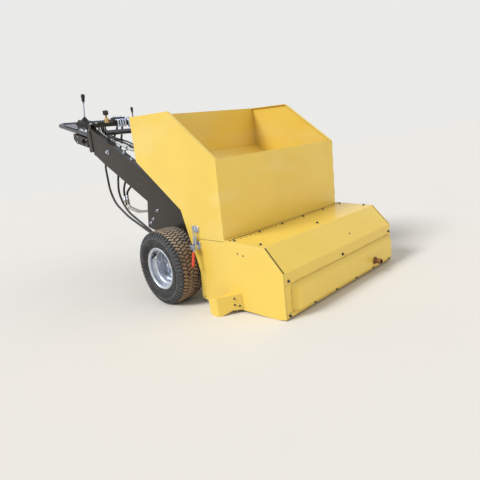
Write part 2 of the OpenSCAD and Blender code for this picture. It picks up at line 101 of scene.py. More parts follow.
class Body(Enum):
    """The bodies that pieces ride on."""

    CHASSIS = "chassis"
    WHEEL_LEFT = "wheel_left"
    WHEEL_RIGHT = "wheel_right"


class Head(Enum):
    """Kinds of fastener head."""

    HEX = "hex"
    NUT = "nut"
    BUTTON = "button"


# ---------------------------------------------------------------- shader maths


class Sock:
    """An output socket, with arithmetic on values."""

    def __init__(self, graph: "Graph", socket: bpy.types.NodeSocket) -> None:
        """Keeps the socket and the graph that it belongs to."""
        self.graph = graph
        self.socket = socket

    def _math(self, operation: str, left: "Sock | float", right: "Sock | float") -> "Sock":
        """Adds one Math node.

        Args:
            operation: name of the Math node's operation.
            left: first value.
            right: second value.

        Returns:
            The result's socket.
        """
        return self.graph.node("ShaderNodeMath", {"operation": operation}, {0: left, 1: right})

    def __add__(self, other: "Sock | float") -> "Sock":
        """Sum."""
        return self._math("ADD", self, other)

    def __radd__(self, other: float) -> "Sock":
        """Sum, reflected."""
        return self._math("ADD", other, self)

    def __sub__(self, other: "Sock | float") -> "Sock":
        """Difference."""
        return self._math("SUBTRACT", self, other)

    def __rsub__(self, other: float) -> "Sock":
        """Difference, reflected."""
        return self._math("SUBTRACT", other, self)

    def __mul__(self, other: "Sock | float") -> "Sock":
        """Product."""
        return self._math("MULTIPLY", self, other)

    def __rmul__(self, other: float) -> "Sock":
        """Product, reflected."""
        return self._math("MULTIPLY", other, self)

    def most(self, other: "Sock | float") -> "Sock":
        """The larger of two values."""
        return self._math("MAXIMUM", self, other)

    def between(self, low: float, high: float) -> "Sock":
        """Smooth step of this value.

        Args:
            low: value that gives 0.
            high: value that gives 1.

        Returns:
            A socket from 0 to 1.
        """
        return self.graph.node(
            "ShaderNodeMapRange",
            {"interpolation_type": "SMOOTHSTEP", "clamp": True},
            {"Value": self, "From Min": low, "From Max": high, "To Min": 0.0, "To Max": 1.0},
        )


class Graph:
    """The nodes of one material or world, and the few kinds of them that are used."""

    def __init__(
        self, owner: "bpy.types.Material | bpy.types.World", place: str = "Object"
    ) -> None:
        """Empties the owner's node tree.

        Args:
            owner: the material or the world.
            place: the texture coordinate that its patterns lie in.
        """
        self.owner = owner
        self.owner.use_nodes = True
        self.tree = self.owner.node_tree
        self.tree.nodes.clear()
        self.place = self.node("ShaderNodeTexCoord", output=place)

    def node(
        self,
        kind: str,
        settings: dict[str, object] | None = None,
        inputs: Inputs | None = None,
        output: int | str = 0,
    ) -> Sock:
        """Adds a node.

        Args:
            kind: the node's type.
            settings: properties that are set first; "stops" fills a colour ramp.
            inputs: values or links of its sockets, by index or name.
            output: the socket to return.

        Returns:
            The chosen output.
        """
        made = self.tree.nodes.new(kind)
        for key, value in (settings or {}).items():
            if key == "stops":
                self._fill_ramp(made, value)
            else:
                setattr(made, key, value)
        for key, value in (inputs or {}).items():
            if isinstance(value, Sock):
                self.tree.links.new(value.socket, made.inputs[key])
            else:
                made.inputs[key].default_value = value
        return Sock(self, made.outputs[output] if made.outputs else made.inputs[0])

    @staticmethod
    def _fill_ramp(made: bpy.types.Node, stops: Sequence[tuple[float, Colour]]) -> None:
        """Sets a colour ramp's stops.

        Args:
            made: the ramp node.
            stops: position and colour of each stop, in order.
        """
        ramp = made.color_ramp
        while len(ramp.elements) < len(stops):
            ramp.elements.new(1.0)
        for element, (position, colour) in zip(ramp.elements, stops):
            element.position = position
            element.color = (*colour, 1.0)

    def noise(self, scale: float, detail: float = 3.0, stretch: Point = (1, 1, 1)) -> Sock:
        """Noise over the object.

        Args:
            scale: features per metre.
            detail: octaves.
            stretch: factors on the three axes.

        Returns:
            A value about 0.5.
        """
        place = self.node(
            "ShaderNodeMapping", inputs={"Vector": self.place, "Scale": Vector(stretch)}
        )
        return self.node(
            "ShaderNodeTexNoise",
            inputs={"Vector": place, "Scale": scale, "Detail": detail, "Roughness": 0.55},
        )

    def cells(self, scale: float) -> Sock:
        """Distance to the nearest of scattered points, scale of them per metre."""
        return self.node("ShaderNodeTexVoronoi", inputs={"Vector": self.place, "Scale": scale})

    def height(self) -> Sock:
        """Height over the floor in metres; in a world, how far a direction points up."""
        return self.node("ShaderNodeSeparateXYZ", inputs={0: self.place}, output=2)

    def facing_up(self) -> Sock:
        """How far the surface faces up, from -1 to 1."""
        normal = self.node("ShaderNodeNewGeometry", output="Normal")
        return self.node("ShaderNodeSeparateXYZ", inputs={0: normal}, output=2)

    def radius(self, centre: Vector) -> Sock:
        """Distance from a line that runs along X.

        Args:
            centre: a point on the line, in metres.

        Returns:
            The distance in metres.
        """
        away = self.node(
            "ShaderNodeVectorMath", {"operation": "SUBTRACT"}, {0: self.place, 1: centre}
        )
        flat = self.node(
            "ShaderNodeVectorMath", {"operation": "MULTIPLY"}, {0: away, 1: Vector((0, 1, 1))}
        )
        return self.node("ShaderNodeVectorMath", {"operation": "LENGTH"}, {0: flat}, "Value")

    def soft_normal(self, radius: float) -> Sock:
        """Normal with edges rounded over a radius in metres."""
        return self.node("ShaderNodeBevel", {"samples": 4}, {"Radius": radius})

    def edge(self, rounded: Sock) -> Sock:
        """Mask of sharp edges.

        Args:
            rounded: a rounded normal.

        Returns:
            0 on flat faces, up to 1 on edges.
        """
        normal = self.node("ShaderNodeNewGeometry", output="Normal")
        dot = self.node(
            "ShaderNodeVectorMath", {"operation": "DOT_PRODUCT"}, {0: rounded, 1: normal}, "Value"
        )
        return (1.0 - dot).between(0.01, 0.16)

    def mix(self, low: "Sock | Colour", high: "Sock | Colour", factor: Sock) -> Sock:
        """Mixes two colours.

        Args:
            low: colour at factor 0.
            high: colour at factor 1.
            factor: how far to go.

        Returns:
            The mixed colour.
        """
        ends = [c if isinstance(c, Sock) else (*c, 1.0) for c in (low, high)]
        return self.node(
            "ShaderNodeMix",
            {"data_type": "RGBA", "clamp_factor": True},
            {0: factor, 6: ends[0], 7: ends[1]},
            2,
        )

    def bump(self, height: Sock, normal: Sock | None = None) -> Sock:
        """Bumps from a height.

        Args:
            height: the height in metres.
            normal: the normal that they lie on, if not the surface's own.

        Returns:
            The bumped normal.
        """
        inputs = {"Strength": 1.0, "Distance": 1.0, "Height": height}
        if normal is not None:
            inputs["Normal"] = normal
        return self.node("ShaderNodeBump", inputs=inputs)

    def surface(self, **channels: "Sock | float | Colour") -> bpy.types.Material:
        """Closes the graph with one shader.

        Args:
            channels: the shader's sockets, with _ for a space.

        Returns:
            The material.
        """
        inputs = {}
        for key, value in channels.items():
            if isinstance(value, tuple):
                value = (*value, 1.0)
            inputs[key.replace("_", " ")] = value
        shader = self.node("ShaderNodeBsdfPrincipled", inputs=inputs)
        self.node("ShaderNodeOutputMaterial", inputs={"Surface": shader})
        return self.owner


# ------------------------------------------------------------------- finishes

DUST: Colour = (0.46, 0.38, 0.28)
BARE_STEEL: Colour = (0.32, 0.31, 0.30)
OILY_GRIME: Colour = (0.10, 0.085, 0.07)
# Pale tones of painted light on paint: a reflection, and a highlight on edges.
PAINTED_REFLECTION: Colour = (0.86, 0.70, 0.32)
EDGE_HIGHLIGHT: Colour = (0.92, 0.76, 0.36)
HOSE_DUST: Colour = (0.17, 0.15, 0.125)
CLEAN_RUBBER: Colour = (0.014, 0.014, 0.015)
CLOUDY_RUBBER: Colour = (0.036, 0.035, 0.033)
# Painted bluish reflection on the tyre's shoulder bars.
SHOULDER_SHEEN: Colour = (0.13, 0.135, 0.145)
ROAD_SOIL: Colour = (0.31, 0.20, 0.125)
# Painted highlight on the tops of tread blocks that face up.
TREAD_TOP_HIGHLIGHT: Colour = (0.46, 0.44, 0.40)
WORN_RING: Colour = (0.20, 0.205, 0.21)
WALL_SOIL: Colour = (0.13, 0.11, 0.09)


@dataclass(frozen=True)
class Finish:
    """A finish that pieces and nodes share.

    Fields:
        name: the material's name.
        slot: the record's slot that it belongs to; not used.
    """

    name: str
    slot: str

    def graph(self) -> Graph:
        """The empty nodes of a new material."""
        return Graph(bpy.data.materials.new(self.name))

    def make(self) -> bpy.types.Material:
        """Builds the material; each kind of finish has its own way."""
        raise NotImplementedError


@dataclass(frozen=True)
class SprayPaint(Finish):
    """Sprayed paint on sheet metal, with slight waves, dust, worn edges and painted highlights.

    Fields:
        colour: the paint's colour.
        shade: colour of its cloudy patches.
        rough: roughness where it is clean.
        coat: weight of its gloss where it is clean.
        wave: height of the sheet's waves, in metres.
        dust: share of dust near the floor and on top faces.
        wear: share of bare steel on edges.
        specks: share of splashes.
        painted_highlights: share of painted reflections, pale patches that grow stronger higher up;
            above 0 the edges get a painted pale highlight too.
        shine: specular level.
        polish: gloss that top faces have beyond coat.
    """

    colour: Colour
    shade: Colour
    rough: float = 0.32
    coat: float = 0.35
    wave: float = 0.0016
    dust: float = 0.5
    wear: float = 0.5
    specks: float = 0.0
    painted_highlights: float = 0.0
    shine: float = 0.5
    polish: float = 0.0

    def make(self) -> bpy.types.Material:
        """Builds the material.

        Returns:
            The material.
        """
        g = self.graph()
        cloud = g.noise(2.6, 2.0)
        fine = g.noise(46.0, 4.0)
        rounded = g.soft_normal(0.0018)
        edge = g.edge(rounded)
        top = g.facing_up().between(0.25, 0.85)
        low = 1.0 - g.height().between(0.0, 0.26)
        film = low * fine.between(0.36, 0.72) * self.dust
        settled = g.facing_up().between(0.5, 0.98) * g.noise(11.0, 5.0).between(0.42, 0.8)
        dust = film + settled * (self.dust * 0.35)
        tone = g.mix(self.colour, self.shade, cloud.between(0.35, 0.72) * 0.6)
        if self.specks:
            spots = 1.0 - g.cells(70.0).between(0.10, 0.2)
            dust = dust + spots * g.noise(9.0).between(0.45, 0.62) * self.specks
        # Painted light: pale reflections in patches that grow stronger higher up, and a pale
        # highlight along the edges.
        if self.painted_highlights:
            streaks = g.noise(4.2, 3.0, (0.6, 0.6, 1.6)).between(0.46, 0.72)
            streaks = streaks * g.height().between(0.12, 0.5)
            tone = g.mix(tone, PAINTED_REFLECTION, streaks * self.painted_highlights)
            tone = g.mix(tone, EDGE_HIGHLIGHT, edge * 0.5)
        tone = g.mix(tone, DUST, dust)
        chips = edge * g.noise(150.0, 2.0).between(0.56, 0.66) * self.wear
        tone = g.mix(tone, BARE_STEEL, chips)
        peel = g.noise(420.0, 1.0) * 0.00003
        return g.surface(
            Base_Color=tone,
            Roughness=self.rough + dust * 0.4 + fine * 0.06,
            Coat_Weight=self.coat - dust * self.coat + top * self.polish,
            Coat_Roughness=0.08,
            Specular_IOR_Level=self.shine,
            Normal=g.bump(cloud * self.wave + peel, rounded),
        )


@dataclass(frozen=True)
class MillSteel(Finish):
    """Bare or heated steel with stains and rust.

    Fields:
        colour: the steel's colour.
        stain: colour of its stains.
        rust: colour of its rust.
        rust_share: how far the rust spreads, from 0 to 1.
        rough: roughness where it is clean.
        metal: how metallic it is where it is clean.
    """

    colour: Colour
    stain: Colour
    rust: Colour = (0.20, 0.085, 0.03)
    rust_share: float = 0.3
    rough: float = 0.5
    metal: float = 0.75

    def make(self) -> bpy.types.Material:
        """Builds the material.

        Returns:
            The material.
        """
        g = self.graph()
        cloud = g.noise(14.0, 6.0)
        grain = g.noise(260.0, 2.0, (1.0, 0.12, 0.12))
        rust = g.noise(32.0, 7.0).between(0.62 - 0.3 * self.rust_share, 0.74)
        tone = g.mix(self.colour, self.stain, cloud.between(0.38, 0.7))
        tone = g.mix(tone, self.rust, rust * 0.85)
        rounded = g.soft_normal(0.0012)
        return g.surface(
            Base_Color=tone,
            Metallic=self.metal - rust * self.metal,
            Roughness=self.rough + rust * 0.35 + grain * 0.1,
            Normal=g.bump(cloud * 0.0006 + rust * 0.0003 + grain * 0.00004, rounded),
        )


@dataclass(frozen=True)
class PlatedSteel(Finish):
    """Zinc plated or bright steel with a cloudy sheen and fine scratches.

    Fields:
        colour: the metal's colour.
        tint: colour of its cloudy patches.
        rough: roughness where it is clean.
        grime: share of grime.
    """

    colour: Colour = (0.62, 0.65, 0.70)
    tint: Colour = (0.50, 0.56, 0.68)
    rough: float = 0.24
    grime: float = 0.25

    def make(self) -> bpy.types.Material:
        """Builds the material.

        Returns:
            The material.
        """
        g = self.graph()
        cloud = g.noise(55.0, 4.0)
        scratch = g.noise(600.0, 2.0, (1.0, 1.0, 0.05)).between(0.55, 0.7)
        grime = g.noise(24.0, 6.0).between(0.5, 0.78) * self.grime
        rounded = g.soft_normal(0.0008)
        tone = g.mix(self.colour, self.tint, cloud.between(0.35, 0.7))
        return g.surface(
            Base_Color=g.mix(tone, OILY_GRIME, grime),
            Metallic=0.95 - grime * 0.8,
            Roughness=self.rough + cloud * 0.14 + scratch * 0.12 + grime * 0.4,
            Normal=g.bump(cloud * 0.00012 + scratch * 0.00002, rounded),
        )


@dataclass(frozen=True)
class CastMetal(Finish):
    """Cast and painted or blasted metal, grainy, with patches of oily grime.

    Fields:
        colour: the metal's colour.
        rough: roughness where it is clean.
        metal: how metallic it is where it is clean.
        grain: height of its grain, in metres.
    """

    colour: Colour
    rough: float = 0.48
    metal: float = 0.35
    grain: float = 0.0002

    def make(self) -> bpy.types.Material:
        """Builds the material.

        Returns:
            The material.
        """
        g = self.graph()
        grain = g.noise(520.0, 3.0)
        cloud = g.noise(20.0, 6.0)
        rounded = g.soft_normal(0.0015)
        grime = cloud.between(0.5, 0.8) * 0.55
        dark = tuple(c * 0.28 for c in self.colour)
        return g.surface(
            Base_Color=g.mix(self.colour, dark, grime),
            Metallic=self.metal - grime * 0.3,
            Roughness=self.rough + grain * 0.12 - grime * 0.1,
            Normal=g.bump(grain * self.grain, rounded),
        )


@dataclass(frozen=True)
class MouldedPlastic(Finish):
    """Moulded plastic or dipped vinyl with a fine grain and a little dust.

    Fields:
        colour: the plastic's colour.
        rough: roughness where it is clean.
        dust: share of dust on top faces.
    """

    colour: Colour
    rough: float = 0.42
    dust: float = 0.3

    def make(self) -> bpy.types.Material:
        """Builds the material.

        Returns:
            The material.
        """
        g = self.graph()
        grain = g.noise(900.0, 2.0)
        cloud = g.noise(30.0, 5.0)
        rounded = g.soft_normal(0.0012)
        dust = g.facing_up().between(0.2, 0.95) * cloud.between(0.4, 0.75) * self.dust
        pale = tuple(min(1.0, c * 1.5 + 0.02) for c in self.colour)
        tone = g.mix(self.colour, pale, g.edge(rounded) * 0.5)
        return g.surface(
            Base_Color=g.mix(tone, DUST, dust * 0.6),
            Roughness=self.rough + cloud * 0.12 + dust * 0.3,
            Normal=g.bump(grain * 0.00008, rounded),
        )


@dataclass(frozen=True)
class HoseRubber(Finish):
    """Black hose cover with the print of its cloth wrapping.

    Fields:
        colour: the rubber's colour.
    """

    colour: Colour = (0.018, 0.018, 0.019)

    def make(self) -> bpy.types.Material:
        """Builds the material.

        Returns:
            The material.
        """
        g = self.graph()
        wrap = g.node(
            "ShaderNodeTexWave",
            {"bands_direction": "DIAGONAL"},
            {"Vector": g.place, "Scale": 110.0, "Distortion": 1.2, "Detail": 1.0},
            output=1,
        )
        cloud = g.noise(26.0, 5.0)
        dust = cloud.between(0.45, 0.8) * 0.45
        return g.surface(
            Base_Color=g.mix(self.colour, HOSE_DUST, dust),
            Roughness=0.46 + dust * 0.35,
            Normal=g.bump(wrap * 0.0002 + cloud * 0.0001),
        )


@dataclass(frozen=True)
class TyreRubber(Finish):
    """Tyre rubber: brown dust on the tread, a worn grey ring below the shoulder, and painted
    highlights on tread tops and shoulder bars.

    Fields:
        centre: a point on the axle, in metres.
        outer: the tyre's radius in metres.
    """

    centre: Point = (0.0, 0.0, 0.0)
    outer: float = 0.2045

    def make(self) -> bpy.types.Material:
        """Builds the material.

        Returns:
            The material.
        """
        g = self.graph()
        radius = g.radius(Vector(self.centre))
        cloud = g.noise(22.0, 6.0)
        fine = g.noise(180.0, 4.0)
        tread = radius.between(self.outer - 0.0058, self.outer - 0.0030)
        ring = radius.between(self.outer - 0.0415, self.outer - 0.039)
        ring = ring * (1.0 - radius.between(self.outer - 0.033, self.outer - 0.031))
        side = 1.0 - radius.between(self.outer - 0.03, self.outer - 0.01)
        tone = g.mix(CLEAN_RUBBER, CLOUDY_RUBBER, cloud.between(0.3, 0.7))
        bars = radius.between(self.outer - 0.031, self.outer - 0.028) * (1.0 - tread)
        # Painted reflection: a bluish-grey sheen on the shoulder bars.
        tone = g.mix(tone, SHOULDER_SHEEN, bars * fine.between(0.3, 0.7) * 0.8)
        tone = g.mix(tone, ROAD_SOIL, tread * cloud.between(0.22, 0.5) * 0.85)
        # Painted highlight: tread tops that face up are paler, as if lit from above.
        lit_tops = tread * g.facing_up().between(0.3, 0.8) * fine.between(0.25, 0.5)
        tone = g.mix(tone, TREAD_TOP_HIGHLIGHT, lit_tops * 0.5)
        tone = g.mix(tone, WORN_RING, ring * fine.between(0.35, 0.65) * 0.55)
        tone = g.mix(tone, WALL_SOIL, side * cloud.between(0.5, 0.8) * 0.4)
        return g.surface(
            Base_Color=tone,
            Roughness=0.62 + cloud * 0.2,
            Normal=g.bump(fine * 0.0003 + cloud * 0.0004),
        )


# The yellow paint carries painted light: pale reflections and pale edge highlights.
YELLOW = SprayPaint(
    "yellow_paint", "yellow_paint", (0.86, 0.615, 0.11), (0.81, 0.555, 0.085),
    coat=0.25, dust=0.05, painted_highlights=0.3, shine=0.4,
)
BLACK = SprayPaint(
    "frame_black", "frame_black", (0.022, 0.018, 0.013), (0.034, 0.028, 0.021),
    rough=0.34, coat=0.05, wave=0.0008, dust=0.10, wear=0.6, specks=0.45, shine=0.3,
    polish=0.5,
)
GLOSS_BLACK = SprayPaint(
    "tube_black", "frame_black", (0.018, 0.019, 0.020), (0.026, 0.027, 0.028),
    rough=0.16, coat=0.5, wave=0.0004, dust=0.08, wear=0.4,
)
DARK_STEEL = MillSteel("dark_steel", "dark_steel", (0.16, 0.15, 0.14), (0.05, 0.045, 0.04))
PIPE_STEEL = MillSteel(
    "heat_tinted_steel", "rusty_steel", (0.42, 0.19, 0.07), (0.20, 0.10, 0.05),
    rust=(0.30, 0.11, 0.035), rust_share=0.6,
)
# Near-black for the lining inside the pipe's open end.
BORE_DARK = MouldedPlastic("bore_dark", "rusty_steel", (0.006, 0.006, 0.006), rough=0.9, dust=0.0)
ZINC = PlatedSteel("zinc_plate", "zinc")
DARK_BOLT = PlatedSteel("dark_bolt", "zinc", (0.16, 0.15, 0.15), (0.09, 0.08, 0.08), rough=0.4)
RED = MouldedPlastic("red_vinyl", "red_grip", (0.72, 0.075, 0.04), rough=0.33, dust=0.1)
KNOB = MouldedPlastic("black_knob", "lever_black", (0.016, 0.016, 0.017), rough=0.26)
TANK = MouldedPlastic("tank_plastic", "tank_black", (0.022, 0.022, 0.023), rough=0.5)
# Painted shade: dark strips for gaps between sheets.
GAP = MouldedPlastic("shadow_gap", "frame_black", (0.030, 0.018, 0.006), rough=0.9, dust=0.0)
SEAM = MouldedPlastic("seam_shade", "yellow_paint", (0.55, 0.35, 0.055), rough=0.8, dust=0.0)
PIPE_ZINC = PlatedSteel("pipe_zinc", "zinc", (0.44, 0.42, 0.35), (0.35, 0.34, 0.30), rough=0.32)
BRASS = PlatedSteel("brass", "brass", (0.72, 0.50, 0.20), (0.55, 0.34, 0.12), rough=0.3)
CAST = CastMetal("cast_housing", "engine_grey", (0.20, 0.20, 0.21))
SHEET = CastMetal("silver_sheet", "engine_silver", (0.74, 0.75, 0.76), 0.36, 0.15, 0.00004)
SLEEVE = MouldedPlastic("sleeve_plastic", "engine_silver", (0.55, 0.56, 0.57), rough=0.4)
RUBBER = HoseRubber("hose_rubber", "hose_rubber")
RIM = PlatedSteel("rim_silver", "rim_silver", (0.66, 0.68, 0.72), (0.58, 0.62, 0.70), 0.30, 0.3)

# The finish of the nodes in each of the record's slots.
NODE_FINISH: dict[str, Finish] = {
    "yellow_paint": YELLOW,
    "frame_black": BLACK,
    "dark_steel": DARK_STEEL,
    "rusty_steel": PIPE_STEEL,
    "zinc": ZINC,
    "red_grip": RED,
    "lever_black": KNOB,
    "tank_black": TANK,
    "brass": BRASS,
    "engine_grey": CAST,
    "engine_silver": SHEET,
    "hose_rubber": RUBBER,
    "tyre": TANK,
    "rim_silver": RIM,
}
# Nodes whose finish isn't their slot's.
OWN_FINISH: dict[str, Finish] = {"handle_loop": GLOSS_BLACK, "cross_tube": GLOSS_BLACK}


class FinishShelf:
    """Makes each finish's material once."""

    def __init__(self) -> None:
        """Starts with no materials."""
        self._made: dict[str, bpy.types.Material] = {}

    def get(self, finish: Finish) -> bpy.types.Material:
        """Gives a finish's material, made when it is first asked for.

        Args:
            finish: the finish.

        Returns:
            Its material.
        """
        if finish.name not in self._made:
            self._made[finish.name] = finish.make()
        return self._made[finish.name]


SHELF = FinishShelf()


# ------------------------------------------------------------------- geometry


def frame_at(origin: Sequence[float], along: Sequence[float]) -> Matrix:
    """A frame whose Z runs along a direction.

    Args:
        origin: the frame's origin.
        along: its Z direction.

    Returns:
        A 4 by 4 matrix.
    """
    turn = Vector(along).normalized().to_track_quat("Z", "Y").to_matrix().to_4x4()
    return Matrix.Translation(Vector(origin)) @ turn


def polar(radius: float, angle: float, height: float) -> Vector:
    """A point at a radius and an angle in radians round Z, at a height."""
    return Vector((radius * math.cos(angle), radius * math.sin(angle), height))


def circle(radius: float, height: float, steps: int) -> list[Vector]:
    """Points of a circle about Z at a height."""
    return [polar(radius, 2 * math.pi * i / steps, height) for i in range(steps)]


def soft_rect(x: float, y: float, radius: float, height: float, steps: int = 4) -> list[Vector]:
    """A rectangle with round corners.

    Args:
        x: half of its size along X.
        y: half of its size along Y.
        radius: radius of its corners.
        height: its place on Z.
        steps: steps in each corner.

    Returns:
        Its points, in order.
    """
    out = []
    for quarter, (sx, sy) in enumerate(((1, 1), (-1, 1), (-1, -1), (1, -1))):
        for i in range(steps + 1):
            a = math.pi / 2 * (quarter + i / steps)
            across = sx * (x - radius) + radius * math.cos(a)
            away = sy * (y - radius) + radius * math.sin(a)
            out.append(Vector((across, away, height)))
    return out


def round_path(points: Sequence[Sequence[float]], cut: float, steps: int = 6) -> list[Vector]:
    """Rounds the corners of a path.

    Args:
        points: the path's corners.
        cut: most that a corner takes off each leg.
        steps: points in each bend.

    Returns:
        A smooth path.
    """
    pts = [Vector(p) for p in points]
    out = [pts[0]]
    for before, corner, after in zip(pts, pts[1:], pts[2:]):
        back, ahead = before - corner, after - corner
        share = min(cut, back.length * 0.48, ahead.length * 0.48)
        start = corner + back.normalized() * share
        end = corner + ahead.normalized() * share
        for i in range(steps + 1):
            t = i / steps
            out.append(start * (1 - t) ** 2 + corner * 2 * t * (1 - t) + end * t * t)
    out.append(pts[-1])
    return out


class Shape:
    """Faces gathered in one frame, in millimetres, that become one piece."""

    def __init__(self, frame: Matrix) -> None:
        """Starts empty.

        Args:
            frame: turns the shape's millimetres into metres on the floor.
        """
        self.frame = frame
        self.mesh = bmesh.new()

    def _band(self, low: Sequence[bmesh.types.BMVert], high: Sequence[bmesh.types.BMVert]) -> None:
        """Faces between two rings of vertices.

        Args:
            low: the first ring.
            high: the second ring; a ring of one vertex is a tip.
        """
        count = max(len(low), len(high))
        for i in range(count):
            j = (i + 1) % count
            first = (low[i % len(low)], low[j % len(low)])
            second = (high[j % len(high)], high[i % len(high)])
            unique = list(dict.fromkeys(first + second))
            if len(unique) > 2:
                self.mesh.faces.new(unique)

    def loft(self, rings: Sequence[Sequence[Vector]], base: Matrix | None = None) -> None:
        """A closed body through rings of equal count.

        Args:
            rings: the rings, in order; a ring of one point is a tip.
            base: frame that the rings are in.
        """
        base = base or Matrix.Identity(4)
        rows = [[self.mesh.verts.new(base @ p) for p in ring] for ring in rings]
        for low, high in zip(rows, rows[1:]):
            self._band(low, high)
        for row in (rows[0], rows[-1]):
            if len(row) > 2:
                self.mesh.faces.new(row)

    def lathe(
        self,
        profile: Profile,
        base: Matrix,
        steps: int = 24,
        closed: bool = False,
    ) -> None:
        """A body turned about the base's Z axis.

        Args:
            profile: radius and height of each point; radius 0 is a tip.
            base: the frame to turn in.
            steps: points round the axis.
            closed: whether the profile closes on itself.
        """
        rows = []
        for radius, height in profile:
            ring = circle(radius, height, steps) if radius > 0 else [Vector((0, 0, height))]
            rows.append([self.mesh.verts.new(base @ p) for p in ring])
        for low, high in zip(rows, rows[1:]):
            self._band(low, high)
        if closed:
            self._band(rows[-1], rows[0])
            return
        for row in (rows[0], rows[-1]):
            if len(row) > 2:
                self.mesh.faces.new(row)

    def hexagon(self, profile: Profile, base: Matrix) -> None:
        """A six-sided body; profile gives the radius over its corners at each height."""
        self.loft([circle(radius, height, HEXAGON) for radius, height in profile], base)

    def rod(self, radius: float, low: float, high: float, base: Matrix, steps: int) -> None:
        """A round rod along the base's Z axis, from low to high."""
        self.lathe([(0, low), (radius, low), (radius, high), (0, high)], base, steps)

    def block(
        self, centre: Sequence[float], size: Sequence[float], soft: float = 1.0,
        base: Matrix | None = None,
    ) -> None:
        """A block with softened edges.

        Args:
            centre: its middle.
            size: its three sizes.
            soft: how far the edges are taken off.
            base: frame that it is in.
        """
        x, y, z = (s / 2 for s in size)
        rings = [
            soft_rect(x - soft, y - soft, soft, -z),
            soft_rect(x, y, soft * 1.5, -z + soft),
            soft_rect(x, y, soft * 1.5, z - soft),
            soft_rect(x - soft, y - soft, soft, z),
        ]
        self.loft(rings, (base or Matrix.Identity(4)) @ Matrix.Translation(Vector(centre)))

    def tube(
        self, points: Sequence[Sequence[float]], radius: float, sides: int = 12,
        ripple: float = 0.0,
    ) -> None:
        """A round body along a path.

        Args:
            points: the path.
            radius: its radius.
            sides: points round it.
            ripple: share by which every other ring is smaller, as on a weld.
        """
        pts = [Vector(p) for p in points]
        turn = (pts[1] - pts[0]).to_track_quat("Z", "Y")
        rings = []
        for i, point in enumerate(pts):
            ahead = pts[min(i + 1, len(pts) - 1)] - pts[max(i - 1, 0)]
            now = turn @ Vector((0, 0, 1))
            turn = now.rotation_difference(ahead.normalized()) @ turn
            size = radius * (1 - ripple * (i % 2))
            rings.append([point + turn @ p for p in circle(size, 0, sides)])
        self.loft(rings)

    def weld(self, start: Sequence[float], end: Sequence[float], radius: float = 2.6) -> None:
        """A weld bead with its scales.

        Args:
            start: where it starts.
            end: where it ends.
            radius: radius of the bead.
        """
        first, last = Vector(start), Vector(end)
        count = max(2, int((last - first).length / WELD_SCALE))
        self.tube([first.lerp(last, i / count) for i in range(count + 1)], radius, 7, 0.16)

    def fastener(
        self, at: Sequence[float], along: Sequence[float], across: float = 13.0,
        head: Head = Head.HEX,
    ) -> None:
        """A bolt head, nut or button head on its washer.

        Args:
            at: the point on the surface.
            along: direction away from the surface.
            across: size across the flats.
            head: the kind of head.
        """
        base = frame_at(at, along) @ Matrix.Rotation(across + at[0], 4, "Z")
        if head is Head.BUTTON:
            self.lathe(
                [(0, -0.5), (across * 0.55, -0.5), (across * 0.55, across * 0.08),
                 (across * 0.42, across * 0.26), (across * 0.24, across * 0.33),
                 (across * 0.24, across * 0.12), (0, across * 0.12)],
                base, 16,
            )
            return
        rim = across * 0.9
        self.lathe(
            [(0, -0.5), (rim, -0.5), (rim, 1.4), (across * 0.83, WASHER), (0, WASHER)], base, 20
        )
        corner = across / math.sqrt(3)
        top = WASHER + across * 0.6
        if head is Head.NUT:
            stud = across * 0.31
            tip = [(stud, top), (stud, top + 4), (stud * 0.8, top + 5), (0, top + 5)]
            self.lathe(tip, base, 12)
        self.hexagon([(corner, WASHER), (corner, top), (corner * 0.84, top + 1.2)], base)

    def piece(
        self, name: str, finish: Finish, body: Body = Body.CHASSIS, replaces: Sequence[str] = (),
    ) -> bpy.types.Object:
        """Turns what was gathered into one object.

        Args:
            name: the piece's name.
            finish: its finish.
            body: the body that it rides on.
            replaces: CAD nodes that it stands for.

        Returns:
            The object.
        """
        bmesh.ops.recalc_face_normals(self.mesh, faces=self.mesh.faces[:])
        data = bpy.data.meshes.new(name)
        self.mesh.transform(self.frame)
        self.mesh.to_mesh(data)
        self.mesh.free()
        data.shade_smooth()
        data.set_sharp_from_angle(angle=HARD_EDGE)
        data.materials.append(SHELF.get(finish))
        made = bpy.data.objects.new(name, data)
        bpy.context.scene.collection.objects.link(made)
        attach(made, body.value)
        if replaces:
            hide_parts(*replaces)
        LOG.info("%s: %d faces on %s", name, len(data.polygons), body.value)
        return made


